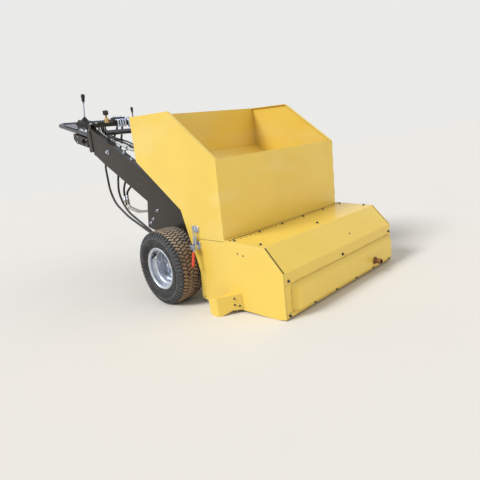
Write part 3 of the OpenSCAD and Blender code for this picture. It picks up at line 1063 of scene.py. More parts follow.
@dataclass(frozen=True)
class Datum:
    """The machine's frame on the floor.

    Fields:
        axle: the axle's Y and Z in the machine's frame.
        kink: Y and Z of the side plates' front corner, which rests on the floor.
        tyre_radius: radius of a tyre.
        axle_now: the same axle in metres on the floor.
    """

    axle: tuple[float, float]
    kink: tuple[float, float]
    tyre_radius: float
    axle_now: tuple[float, float]

    @classmethod
    def from_tyre(cls) -> "Datum":
        """Reads the axle's place from the left tyre's box.

        Returns:
            The datum.
        """
        low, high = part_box("tyre_left")
        middle = (low + high) / 2
        return cls((786.0, 120.0), (61.0, -12.0), (high.z - low.z) * 500, (middle.y, middle.z))

    @property
    def tilt(self) -> float:
        """The machine's tilt about X in radians."""
        run, rise = self.axle[0] - self.kink[0], self.axle[1] - self.kink[1]
        return math.asin(self.tyre_radius / math.hypot(run, rise)) - math.atan2(rise, run)

    @property
    def shift(self) -> tuple[float, float]:
        """Where the machine's origin lies.

        Returns:
            Its Y and Z in metres on the floor.
        """
        c, s = math.cos(self.tilt), math.sin(self.tilt)
        y, z = self.axle[0] / 1000, self.axle[1] / 1000
        return self.axle_now[0] - y * c + z * s, self.axle_now[1] - y * s - z * c

    def machine(self) -> Matrix:
        """Turns machine millimetres into metres on the floor."""
        turn = Matrix.Rotation(self.tilt, 4, "X")
        return Matrix.Translation((0, *self.shift)) @ turn @ Matrix.Scale(MM, 4)

    def floor(self) -> Matrix:
        """As machine, but level with the floor."""
        return Matrix.Translation((0, self.shift[0], 0)) @ Matrix.Scale(MM, 4)

    def __call__(self) -> Shape:
        """A new shape in the machine's frame."""
        return Shape(self.machine())


# --------------------------------------------------------------------- pieces


@dataclass
class Part:
    """A sub-assembly whose pieces are drawn in the machine's frame.

    Fields:
        datum: the machine's frame on the floor.
    """

    datum: Datum

    def build(self) -> None:
        """Builds the pieces; each sub-assembly has its own."""
        raise NotImplementedError


@dataclass
class Hopper(Part):
    """Trim of the hopper and of the deck at its foot.

    Fields:
        half: half of the width over the side plates.
        front: Y of the front wall's face.
        rear: Y of the rear wall's face.
        deck: height of the deck.
        top: height of the front wall's top edge.
        rows: Y of the deck's rear and front row of bolts.
        dash: step from one dash of the deck's broken line to the next.
    """

    half: float = BODY_HALF
    front: float = 353.0
    rear: float = 984.0
    deck: float = 308.0
    top: float = 688.0
    rows: tuple[float, float] = (302.0, 145.0)
    dash: float = 31.0

    def build(self) -> None:
        """Builds the trim."""
        self._bolts()
        self._gaps()
        self._welds()

    def _bolts(self) -> None:
        """Two rows of bolts on the deck and four screws on each side plate."""
        shape = self.datum()
        for y, row in zip(self.rows, ((-446, -271, -99, 79, 263, 438), (-433, -11, 443))):
            for x in row:
                shape.fastener((x, y, self.deck), (0, 0, 1), 8)
        for side in SIDES:
            for y, z in ((267, 257), (231, 252), (549, -20), (465, -12)):
                shape.fastener((side * self.half, y, z), (side, 0, 0), 8, Head.BUTTON)
        shape.piece("deck_bolts", DARK_BOLT)

    def _gaps(self) -> None:
        """Painted shade: dark lines where the gaps between sheets lie in shade."""
        shape = self.datum()
        shape.block((0, 326, self.deck), (2 * self.half - 12, 4.4, 2.6), 0.3)
        x = -self.half + 26
        while x < self.half - 30:
            shape.block((x + 9, self.rows[0], self.deck), (18, 2.2, 1.6), 0.3)
            x += self.dash
        for side in SIDES:
            seam = [(side * self.half, 354, 301), (side * self.half, 546, 292)]
            shape.tube(seam, 0.9, 6)
            slope = Vector((side * (self.half - 8), 50, 257))
            run = Vector((0, 48, 49))
            shape.tube([slope - run, slope + run], 2.6 if side < 0 else 1.4, 8)
        shape.piece("sheet_gaps", GAP)

    def _welds(self) -> None:
        """Beads in the hopper's inner corners and stitches under its outer ones."""
        shape = self.datum()
        for side in SIDES:
            x = side * (self.half - 5.5)
            shape.weld((x, self.front + 5.5, 330), (x, self.front + 5.5, self.top - 8))
            shape.weld((x, self.rear, 694), (x, self.rear, 920))
            shape.weld((x, self.rear - 4, 686), (x, 676, 482))
        shape.weld((-458, self.rear, 689), (458, self.rear, 689), 2.2)
        for side in SIDES:
            x, y = side * (self.half - 1), self.front - 0.5
            for z in (360, 460, 560, 650):
                shape.weld((x, y, z), (x, y, z + 26), 1.6)
        shape.piece("hopper_welds", YELLOW)


@dataclass
class Front(Part):
    """Trim of the front: bolts, the pan's seams and the pipe's dark bore.

    Fields:
        stub: middle of the pipe's open end.
        bore: radius of the pipe's bore.
        deep: depth of the bore.
    """

    stub: Point = (236.0, -68.0, 64.0)
    bore: float = 10.9
    deep: float = 108.0

    def build(self) -> None:
        """Builds the trim."""
        self._bolts()
        self._stitches()
        self._gap()
        self._strip()
        self._bore()
        self._lip()

    def _bolts(self) -> None:
        """A row of bolts along each edge and a screw on the cover."""
        shape = self.datum()
        ahead = (0, -1, 0)
        for x in (-440, -263, -88, 90, 263, 437):
            shape.fastener((x, -2.4, 13), ahead, 8)
        for x in (-433, -17, 445):
            shape.fastener((x, 0, 168), ahead, 8.5)
        shape.fastener((101.5, 31.7, 238.3), (0, -102, 100), 8, Head.BUTTON)
        shape.piece("front_bolts", DARK_BOLT)

    def _stitches(self) -> None:
        """Weld stitches round the pan's edge."""
        shape = self.datum()
        for x in (-366, -192, 18, 228, 410):
            shape.block((x, -1.2, 151), (30, 4.5, 5.5), 1.6)
        for x, heights in ((-421, (54, 102)), (449, (60, 112))):
            for z in heights:
                shape.block((x, -1.2, z), (5.5, 4.5, 20), 1.6)
        shape.piece("pan_stitches", YELLOW)

    def _gap(self) -> None:
        """Shaded gaps over the pan, on its left and over the lower strip."""
        shape = self.datum()
        shape.block((16, 0, 149.3), (852, 1.6, 1.6), 0.3)
        shape.block((-419.4, 0, 88), (1.4, 1.2, 116), 0.3)
        shape.block((0, 0, 24.5), (888, 1.6, 1.6), 0.3)
        shape.piece("pan_gap", SEAM)

    def _strip(self) -> None:
        """The folded strip along the front's lower edge."""
        shape = self.datum()
        shape.block((0, -1.2, 13), (888, 3.0, 20), 1.0)
        shape.piece("lower_strip", YELLOW)

    def _bore(self) -> None:
        """A near-black lining and end disc inside the pipe's open end."""
        shape = self.datum()
        base = frame_at(self.stub, (0, 1, 0))
        inner, deep = self.bore - 0.7, self.deep
        wall = [(self.bore, 1.5), (self.bore, deep), (inner, deep), (inner, 1.5)]
        shape.lathe(wall, base, 32, True)
        shape.rod(self.bore - 0.4, deep, deep + 1, base, 32)
        shape.piece("pipe_bore_lining", BORE_DARK)

    def _lip(self) -> None:
        """The pipe's rolled lip, and the ring where it leaves the pan."""
        shape = self.datum()
        base = frame_at(self.stub, (0, 1, 0))
        shape.lathe([(11.2, 0.3), (13.4, 0.3), (13.7, 3.0), (13.7, 6), (11.2, 6)], base, 40, True)
        shape.lathe([(14.0, 30), (19.5, 34), (20, 37.4), (14.0, 37.6)], base, 40, True)
        shape.piece("pipe_lip", PIPE_STEEL)


@dataclass
class Shoes(Part):
    """Bolts and welds of the two wedge shoes, drawn level with the floor.

    Fields:
        half: half of the width over the side plates.
        rise: how far a shoe's slanted face runs out and along the plate.
    """

    half: float = BODY_HALF
    rise: tuple[float, float] = (93.0, 76.0)

    def build(self) -> None:
        """Builds the trim."""
        bolts, welds = Shape(self.datum.floor()), Shape(self.datum.floor())
        out, along_plate = self.rise
        for side in SIDES:
            face = Vector((side * along_plate, -out, 0)).normalized()
            run = Vector((side * out, along_plate, 0)).normalized()
            start = Vector((side * self.half, 262, 0))
            for along, z in ((36, 75), (38, 45), (16, 36)):
                bolts.fastener(start + run * along + Vector((0, 0, z)), face, 5.6)
            x = side * (self.half + 1)
            welds.weld((x, 260, 16), (x, 260, 86), 2.2)
            welds.weld((x, 268, 92), (x, 340, 92), 2.2)
        bolts.piece("shoe_bolts", DARK_BOLT)
        welds.piece("shoe_welds", YELLOW)


@dataclass
class Clamps(Part):
    """Toggle clamps that hold the hopper's foot: plates, loop, pins and red grips.

    Each is drawn on the right and mirrored by a turn for the left.

    Fields:
        half: half of the width over the side plates.
        pivot: the lever's place out from the side plate, along Y and up.
        hang: the lever's angle from straight up, in degrees.
        wire: radius of the loop's wire.
        holes: heights of the keeper's holes.
    """

    half: float = BODY_HALF
    pivot: Point = (30.0, 555.5, 250.0)
    hang: float = 168.0
    wire: float = 2.6
    holes: Point = (326.0, 342.0, 358.0)

    def build(self) -> None:
        """Builds both clamps."""
        metal, grips, keepers = self.datum(), self.datum(), self.datum()
        for side in SIDES:
            turn = Matrix.Diagonal((side, 1, 1, 1))
            self._keeper(keepers, turn)
            self._hinge(metal, turn)
            self._loop(metal, turn)
            self._lever(metal, turn)
            self._grip(grips, turn)
        keepers.piece("keeper_plates", ZINC, replaces=("clamp_keepers",))
        metal.piece("toggle_clamps", ZINC, replaces=("clamp_levers",))
        grips.piece("toggle_grips", RED)

    def _rivet(self, shape: Shape, turn: Matrix, at: Point, across: float) -> None:
        """A button head that faces out from the side plate."""
        shape.fastener(turn @ Vector(at), turn @ Vector((1, 0, 0)), across, Head.BUTTON)

    def _keeper(self, shape: Shape, turn: Matrix) -> None:
        """A keeper plate with rims round its three holes, and a rivet.

        Args:
            shape: what it is added to.
            turn: mirrors it onto its side.
        """
        face = self.half + 4.9
        base = turn @ frame_at((self.half, 560, 342), (1, 0, 0))
        outer = soft_rect(26, 15, 5, 0.1)
        top = soft_rect(26, 15, 5, 4.0)
        rim = soft_rect(25, 14, 4.4, 4.9)
        shape.loft([outer, top, rim], base)
        for z in self.holes:
            hole = turn @ frame_at((face, 560, z), (1, 0, 0))
            shape.lathe([(4.0, -0.4), (6.4, -0.4), (6.0, 0.7), (4.4, 0.7)], hole, 20, True)
        self._rivet(shape, turn, (face, 560, 334), 6)

    def _hinge(self, shape: Shape, turn: Matrix) -> None:
        """Base plate, cheeks and pins.

        Args:
            shape: what they are added to.
            turn: mirrors them onto their side.
        """
        x = self.half
        plate = [soft_rect(25, 18, 4, 0.1), soft_rect(25, 18, 4, 4), soft_rect(24, 17, 3, 4.8)]
        shape.loft(plate, turn @ frame_at((x, 559, 258), (1, 0, 0)))
        for y in (547.5, 570.5):
            cheek = turn @ frame_at((x + 22, y - 2, 252), (0, 1, 0))
            shape.loft([soft_rect(17, 14, 8, 0), soft_rect(17, 14, 8, 4)], cheek)
        for out, z, head in ((28, 254, 9), (30, 243, 7)):
            pin = [(0, 0), (head, 0), (head, 3), (head * 0.6, 3)]
            pin += [(radius, 38 - height) for radius, height in reversed(pin)]
            shape.lathe(pin, turn @ frame_at((x + out, 540, z), (0, 1, 0)), 18)

    def _loop(self, shape: Shape, turn: Matrix) -> None:
        """The wire loop up to the keeper, with its screw and nut.

        Args:
            shape: what they are added to.
            turn: mirrors them onto their side.
        """
        x, near, far = self.half, 549, 569
        shape.hexagon([(8.5, -7), (8.5, 4)], turn @ frame_at((x + 16, 559, 300), (0, 0, 1)))
        legs = [
            round_path([(x + 26, y, 252), (x + 14, y, 290), (x + 11, y, 330)], 12)
            for y in (near, far)
        ]
        hook = [(x + 11, near, 328), (x + 11, near, 338), (x + 11, far, 338), (x + 11, far, 328)]
        for path in (*legs, round_path(hook, 8)):
            shape.tube([turn @ p for p in path], self.wire, 10)
        shape.rod(3.2, 0, 44, turn @ frame_at((x + 16, 559, 262), (0, 0, 1)), 12)

    def _pivot_frame(self, turn: Matrix) -> Matrix:
        """The frame of the lever.

        Args:
            turn: mirrors it onto its side.

        Returns:
            A frame just past the lever's pin, with Z along the lever.
        """
        hang = math.radians(self.hang)
        along = Vector((math.sin(hang), 0, math.cos(hang)))
        out, y, z = self.pivot
        return turn @ frame_at(Vector((self.half + out, y, z)) + along * 6, along)

    def _lever(self, shape: Shape, turn: Matrix) -> None:
        """The lever's bare end, and the base plate's rivets.

        Args:
            shape: what they are added to.
            turn: mirrors them onto their side.
        """
        bare = [soft_rect(5.4, 2.6, 2, -6), soft_rect(5.4, 2.6, 2, 20)]
        shape.loft(bare, self._pivot_frame(turn))
        for y, z in ((546, 237), (572, 237), (546, 279), (572, 279)):
            self._rivet(shape, turn, (self.half + 4.8, y, z), 7)

    def _grip(self, shape: Shape, turn: Matrix) -> None:
        """A dipped grip on the lever, hanging down.

        Args:
            shape: what it is added to.
            turn: mirrors it onto its side.
        """
        sections = (
            (14, 5, 3.2), (17, 7, 4.6), (30, 7.3, 4.8), (54, 7.5, 4.9), (78, 7.5, 5.0),
            (86, 6.6, 4.6), (90, 4, 2.6),
        )
        rings = [soft_rect(wide, thick, thick * 0.8, down) for down, wide, thick in sections]
        shape.loft(rings, self._pivot_frame(turn))


@dataclass
class Arms(Part):
    """Fasteners and welds of the two frame arms.

    Fields:
        outer: distance of the webs' outer faces from the machine's middle.
        inner: distance of the flanges' middles from the machine's middle.
        slope: the arms' rise per length.
    """

    outer: float = 395.0
    inner: float = 376.0
    slope: float = 0.4685

    def build(self) -> None:
        """Builds the trim."""
        self._bolts()
        self._welds()

    def _bolts(self) -> None:
        """Bolts through the webs and nuts on the flanges."""
        shape = self.datum()
        for side in SIDES:
            shape.fastener((side * self.outer, 1504, 739), (side, 0, 0), 17)
            for y, z in ((1093, 303), (1062, 330), (1004, 386)):
                shape.fastener((side * self.outer, y, z), (side, 0, 0), 10)
            for y in (1328, 1246):
                z = 881.3 + (y - 1658) * self.slope
                shape.fastener((side * self.inner, y, z), (0, -self.slope, 1), 13, Head.NUT)
        shape.piece("arm_bolts", ZINC)

    def _welds(self) -> None:
        """Beads at the end posts, at the cross tube's feet and on its top."""
        shape = self.datum()
        for side in SIDES:
            x = side * (self.outer + 0.6)
            shape.weld((x, 1705.9, 746), (x, 1705.9, 888), 2.4)
            shape.weld((side * 372, 1499, 812), (side * 372, 1537, 828), 2.2)
            for y in (1512, 1524):
                shape.weld((side * 365, y, 879), (side * 387, y, 879), 1.8)
        shape.piece("arm_welds", BLACK)


@dataclass
class Handle(Part):
    """Welded collars of the handle, and what its left rail carries.

    Fields:
        tube_x: distance of the rails from the machine's middle.
        rail: Y and Z of the rails' lower ends.
        lean: the rails' angle over the level, in radians.
        lever: the travel lever's place across, and along the rail.
    """

    tube_x: float = 367.0
    rail: tuple[float, float] = (1749.0, 849.0)
    lean: float = math.radians(11.5)
    lever: tuple[float, float] = (-261.0, 324.6)

    def on_rail(self, x: float, along: float, up: float) -> Vector:
        """A point in the machine's frame from one in the rails' frame."""
        c, s = math.cos(self.lean), math.sin(self.lean)
        return Vector((x, self.rail[0] + along * c - up * s, self.rail[1] + along * s + up * c))

    def direction(self, along: float, up: float) -> Vector:
        """A direction in the machine's frame from one in the rails' frame."""
        return self.on_rail(0, along, up) - self.on_rail(0, 0, 0)

    def _on_lever(self, up: float) -> Matrix:
        """Frame on the travel lever's line, at a height over the rail's middle."""
        return frame_at(self.on_rail(*self.lever, up), self.direction(0, 1))

    def build(self) -> None:
        """Builds the trim."""
        self._collars()
        self._screws()
        self._gaiter()
        self._sleeve()
        self._nuts()
        self._switch()

    def _collars(self) -> None:
        """Weld beads round the rails' lower ends."""
        shape = self.datum()
        for side in SIDES:
            base = frame_at(self.on_rail(side * self.tube_x, 9.5, 0), self.direction(1, 0))
            shape.lathe([(17.2, 0), (20.4, 0.2), (19.6, 2.4), (17.2, 4.2)], base, 40, True)
        shape.piece("handle_welds", BLACK)

    def _screws(self) -> None:
        """Screws of the lever's stand and of the switch box."""
        shape = self.datum()
        for x in (-340, -316):
            for along in (self.lever[1] - 98, self.lever[1] + 98):
                shape.fastener(self.on_rail(x, along, 21.4), self.direction(0, 1), 8, Head.BUTTON)
        for along, up in ((52, -30), (182, -30), (50, -68), (190, -68)):
            shape.fastener(self.on_rail(-391, along, up), (-1, 0, 0), 7, Head.BUTTON)
        shape.piece("handle_screws", ZINC)

    def _gaiter(self) -> None:
        """A bellows over the lever's slot."""
        shape = self.datum()
        profile = [
            (0, 0), (27, 0), (27, 2), (20, 5), (23, 8), (16, 11), (18, 14), (11, 18), (12, 21),
            (6.2, 26), (5.2, 27), (0, 27),
        ]
        shape.lathe(profile, self._on_lever(62), 28)
        shape.piece("lever_gaiter", KNOB)

    def _sleeve(self) -> None:
        """The bright sleeve of the travel lever's rod."""
        shape = self.datum()
        shape.rod(5.4, 0, 100, self._on_lever(88), 20)
        shape.piece("lever_rod", ZINC)

    def _nuts(self) -> None:
        """Nuts under the knobs of the travel lever and the gate lever."""
        shape = self.datum()
        shape.hexagon([(9.5, 0), (9.5, 7), (8, 8.4)], self._on_lever(190))
        shape.hexagon([(10.5, 0), (10.5, 6), (9, 7.2)], frame_at((-60, 1694, 943), (0, 0, 1)))
        shape.piece("lever_nuts", ZINC)

    def _switch(self) -> None:
        """Bezel of the round switch on the box under the rail."""
        shape = self.datum()
        base = frame_at(self.on_rail(-403, 90, -44), (-1, 0, 0))
        profile = [
            (0, -1), (17, -1), (17.6, 1.5), (15.5, 3.5), (11, 3.8), (10.5, 7.2), (7, 8.6), (0, 8.8),
        ]
        shape.lathe(profile, base, 32)
        ridges = 10
        for i in range(ridges):
            ridge = base @ Matrix.Rotation(2 * math.pi * i / ridges, 4, "Z")
            shape.block((16.8, 0, 1.2), (2.2, 3.0, 3.6), 0.6, ridge)
        shape.piece("switch_knob", KNOB)


@dataclass
class Console(Part):
    """Flow valve, valve bank, fittings and screws on the console plate.

    Fields:
        top: height of what stands on the plate.
        flow: X and Y of the flow valve.
        lobes: lobes of its star knob.
        ports: X of the valve bank's ports.
        feeds: X of the feed block's pipes.
    """

    top: float = 931.3
    flow: tuple[float, float] = (-264.0, 1704.0)
    lobes: int = 6
    ports: tuple[float, ...] = (-214.0, -196.0, -178.0, -160.0)
    feeds: tuple[float, ...] = (-128.0, -98.0)

    def build(self) -> None:
        """Builds the trim."""
        self._flow_valve()
        self._flow_knob()
        self._bank()
        self._fittings()
        self._screws()

    def _upright(self, x: float, y: float, over: float = 0.0) -> Matrix:
        """Frame with Z up at a place on the plate, at a height over it."""
        return frame_at((x, y, self.top + over), (0, 0, 1))

    def _screws(self) -> None:
        """Bolts of the plate and screws of the valve bank."""
        shape = self.datum()
        for x in (-372, -330, 330, 372):
            shape.fastener((x, 1731, self.top - 0.3), (0, 0, 1), 13)
        for x in (-215, -150):
            shape.fastener((x, 1712, self.top + 34), (0, 0, 1), 8, Head.BUTTON)
        shape.piece("console_bolts", ZINC)

    def _flow_valve(self) -> None:
        """Brass body with a side cap and a threaded stem."""
        body = self.datum()
        base = self._upright(*self.flow)
        body.hexagon([(17, 0), (17, 8), (15.5, 9)], base)
        body.lathe([(14, 8.5), (14, 26), (12.6, 28), (0, 28)], base, 32)
        body.hexagon([(15, 27), (15, 34), (13.4, 35)], base)
        for i in range(9):
            h = 36 + i * 2
            body.lathe([(0, h), (6.2, h), (7, h + 0.9), (6.2, h + 1.8), (0, h + 1.8)], base, 20)
        side = frame_at((self.flow[0] + 10, self.flow[1], self.top + 18), (1, 0, 0))
        body.lathe([(8, 0), (8, 12), (6.8, 13.8), (0, 13.8)], side, 24)
        body.piece("flow_valve_body", BRASS, replaces=("flow_valve",))

    def _flow_knob(self) -> None:
        """The star knob on the flow valve's stem."""
        shape = self.datum()
        rings = []
        steps = 60
        angles = [2 * math.pi * i / steps for i in range(steps)]
        for height, radius in ((54, 14.0), (57, 18.4), (77, 20.2), (84, 18.0), (86.5, 12.0)):
            rings.append(
                [polar(radius + 1.9 * math.cos(self.lobes * a) - 1.0, a, height) for a in angles]
            )
        shape.loft(rings, self._upright(*self.flow))
        shape.piece("flow_knob", KNOB)

    def _bank(self) -> None:
        """Block of the valve bank."""
        shape = self.datum()
        shape.block((-184, 1698, self.top + 17), (84, 52, 34), 2.5)
        shape.piece("valve_bank", KNOB, replaces=("valve_block",))

    def _fittings(self) -> None:
        """Spools' caps, ports and pipes that drop over the plate's front edge."""
        shape = self.datum()
        for x in self.ports:
            self._port(shape, x)
        shape.block((-112.5, 1697, self.top + 12), (60, 30, 24), 2)
        for x in self.feeds:
            self._feed(shape, x)
        shape.piece("valve_fittings", ZINC)

    def _port(self, shape: Shape, x: float) -> None:
        """A spool's cap, and its port with an elbow down to a nut.

        Args:
            shape: what they are added to.
            x: their place across the machine.
        """
        top = self.top
        cap = self._upright(x, 1692, 33)
        shape.lathe([(0, 0), (7, 0), (7, 7), (6, 8.5), (0, 8.5)], cap, 20)
        shape.hexagon([(5, 8), (5, 11)], cap)
        port = frame_at((x, 1673, top + 15), (0, -1, 0))
        shape.hexagon([(8.2, -1), (8.2, 10), (7, 11)], port)
        shape.lathe([(5.6, 10), (5.6, 19), (4.6, 21)], port, 18)
        bend = [(x, 1656, top + 15), (x, 1639, top + 14), (x, 1637, top - 22)]
        shape.tube(round_path(bend, 11), 5.2, 14)
        shape.hexagon([(8.6, 0), (8.6, 13), (7.4, 14)], self._upright(x, 1637, -34))

    def _feed(self, shape: Shape, x: float) -> None:
        """A cap on the feed block, and a pipe from it down over the edge.

        Args:
            shape: what they are added to.
            x: their place across the machine.
        """
        top = self.top
        cap = self._upright(x, 1697, 23)
        shape.hexagon([(8, 0), (8, 10), (7, 11)], cap)
        shape.lathe([(6, 10), (6, 13), (0, 13)], cap, 18)
        bend = [(x, 1686, top + 11), (x, 1641, top + 14), (x, 1641, top - 40)]
        shape.tube(round_path(bend, 14), 6.6, 16)
        nut = frame_at((x, 1660, top + 12.5), (0, -1, 0))
        shape.hexagon([(9.4, 0), (9.4, 13), (8, 14)], nut)
        shape.hexagon([(10.3, 0), (10.3, 14), (9, 15.2)], self._upright(x, 1641, -42))


@dataclass
class Lines(Part):
    """Hoses, steel pipes and cables along their routes, with their fittings.

    Fields:
        plate: height of the console plate's underside.
        engine: Y of the engine's front.
        hose: radius of a hose.
        clips: for each cable clip its Y, the height of the lowest cable in it, that of
            its bar, and that of the bar's foot.
    """

    plate: float = 926.7
    engine: float = ENGINE_FRONT
    hose: float = 7.3
    clips: tuple[tuple[float, float, float, float], ...] = (
        (1482.0, 797.4, 785.5, 789.0), (1340.0, 755.4, 744.0, 733.0),
    )

    def _port(self, x: float) -> Point:
        """Top of a wheel motor's port."""
        y, z = self.datum.axle
        return (x, y, z + 93.3)

    def routes(self) -> list[list[Point]]:
        """Routes of the hoses on the side of +X.

        Returns:
            The corners of the two motor hoses and of the two supply hoses.
        """
        y, run = self.datum.axle[0], self.engine + 262
        return [
            [(200, 1690, self.plate), (200, 1690, 890), (325, 1714, 650), (330, 1690, 460),
             (330, 1635, 372), (330, 1484, 292), (336, 1180, 200), (343, 900, 222),
             (342, y + 56, 272), (342, y + 20, 280), (342, y, 260), self._port(342)],
            [(160, 1690, self.plate), (160, 1690, 890), (300, 1600, 560), (310, 1608, 450),
             (310, 1560, 365), (310, 1500, 313), (308, 1180, 182), (311, 890, 212),
             (312, y + 56, 262), (312, y + 20, 270), (312, y, 250), self._port(312)],
            [(110, 1520, 639.7), (110, 1520, 600), (150, 1526, 565), (290, 1522, 536),
             (322, 1504, 480), (325, 1502, 440), (325, 1502, 402)],
            [(70.3, run, 600), (104, run, 600), (190, 1402, 572), (262, 1462, 520),
             (296, 1518, 452), (296, 1518, 402)],
        ]

    def build(self) -> None:
        """Builds hoses, fittings, pipes and the engine's cables."""
        self._hoses()
        self._pipes()
        self._cables()

    def _hoses(self) -> None:
        """Hoses with a crimped ferrule and a nut at both ends."""
        metal = self.datum()
        routes = self.routes()
        for name, node, pair in (
            ("motor_hose_run", "motor_hoses", routes[:2]),
            ("supply_hose_run", "supply_hoses", routes[2:]),
        ):
            rubber = self.datum()
            for route in pair:
                for side in SIDES:
                    path = [Vector((side * p[0], p[1], p[2])) for p in route]
                    rubber.tube(round_path(path, 46, 8), self.hose, 14)
                    for end, then in ((path[0], path[1]), (path[-1], path[-2])):
                        self._ferrule(metal, end, then - end)
            rubber.piece(name, RUBBER, replaces=(node,))
        metal.piece("hose_fittings", ZINC)

    def _ferrule(self, shape: Shape, at: Vector, along: Vector) -> None:
        """A crimped sleeve and a nut on a hose's end.

        Args:
            shape: what they are added to.
            at: the hose's end.
            along: direction into the hose.
        """
        base = frame_at(at, along)
        shape.hexagon([(9.6, 0.2), (9.6, 9), (8.4, 10.4)], base)
        profile = [(7.4, 10)]
        for i in range(4):
            profile += [(8.9, 11 + i * 5), (8.9, 14 + i * 5), (8.2, 15 + i * 5)]
        shape.lathe(profile + [(7.4, 31)], base, 20, True)

    def _cables(self) -> None:
        """Sleeved wires and three cables along the left arm, from the console to the engine."""
        sleeve, cables, clips = self.datum(), self.datum(), self.datum()
        y = self.engine
        for shape, x, rise, radius, end in (
            (sleeve, -338, 0, 9, (-168, y + 138, 742)),
            (cables, -318, 13, 6, (-168, y + 126, 756)),
            (cables, -304, 4, 6, (-168, y + 112, 763)),
            (cables, -290, 16, 5, (-168, y + 96, 766)),
        ):
            route = [
                (x, 1690, self.plate - 1), (x, 1690, 880), (x, 1600, 826 + rise * 0.4),
                (x, 1545, 815 + rise * 0.3), (x, 1420, 780 + rise), (x, 1293, 741 + rise),
                (x + 40, y + 148, 734 + rise), (-215, end[1] + 6, end[2]), end,
            ]
            shape.tube(round_path(route, 40, 7), radius, 12)
            for (along, z, bar, _), share in zip(self.clips, (0.65, 1.0)):
                self._band(clips, (x, along, z + rise * share), radius, bar)
        for along, _, bar, foot in self.clips:
            clips.block((-323, along, bar), (80, 12, 4), 1)
            clips.block((-360, along, (bar + foot) / 2), (6, 12, abs(bar - foot) + 6), 1)
        sleeve.piece("wire_sleeve", SLEEVE)
        cables.piece("engine_cables", RUBBER)
        clips.piece("cable_clips", KNOB)

    def _band(self, shape: Shape, at: Point, radius: float, bar: float) -> None:
        """A band round a cable, on a foot down to the clip's bar.

        Args:
            shape: what they are added to.
            at: the cable's middle.
            radius: the cable's radius.
            bar: height of the clip's bar.
        """
        x, y, z = at
        inner, outer = radius - 0.3, radius + 2
        base = frame_at((x, y - 5, z - 1.4), (0, 1, 0.28))
        shape.lathe([(inner, 0), (outer, 0), (outer, 10), (inner, 10)], base, 20, True)
        low = z - radius - 1
        shape.block((x, y, (low + bar) / 2), (4, 7, low - bar + 1), 0.8)

    def _pipes(self) -> None:
        """Bent steel pipes, their nuts and the block on each arm."""
        shape = self.datum()
        for side in SIDES:
            for x, y, end in ((325, 1502, 392), (296, 1518, 362)):
                route = [
                    (x, y, 401.7), (x, y, 372), (x, y - 22, 352), (x, y - 150, 332),
                    (x, y - 280, 350), (x + 4, 1080, end),
                ]
                path = [Vector((side * p[0], p[1], p[2])) for p in route]
                shape.tube(round_path(path, 34, 8), 5.5, 16)
                base = frame_at((side * x, y, 372), (0, 0, 1))
                shape.hexagon([(11, 0), (11, 14), (9.6, 15.4)], base)
                shape.lathe([(9, 15), (9, 29.7), (0, 29.7)], base, 20)
                tail = frame_at((side * (x + 4), 1083, end), (0, 1, 0))
                shape.hexagon([(10.5, 0), (10.5, 14), (9, 15.2)], tail)
            shape.block((side * 338.3, 1067, 374), (100.4, 30, 60), 2.5)
            for z in (354, 394):
                shape.fastener((side * 362, 1052, z), (0, -1, 0), 10)
        shape.piece("steel_pipe_runs", PIPE_ZINC, replaces=("steel_pipes",))


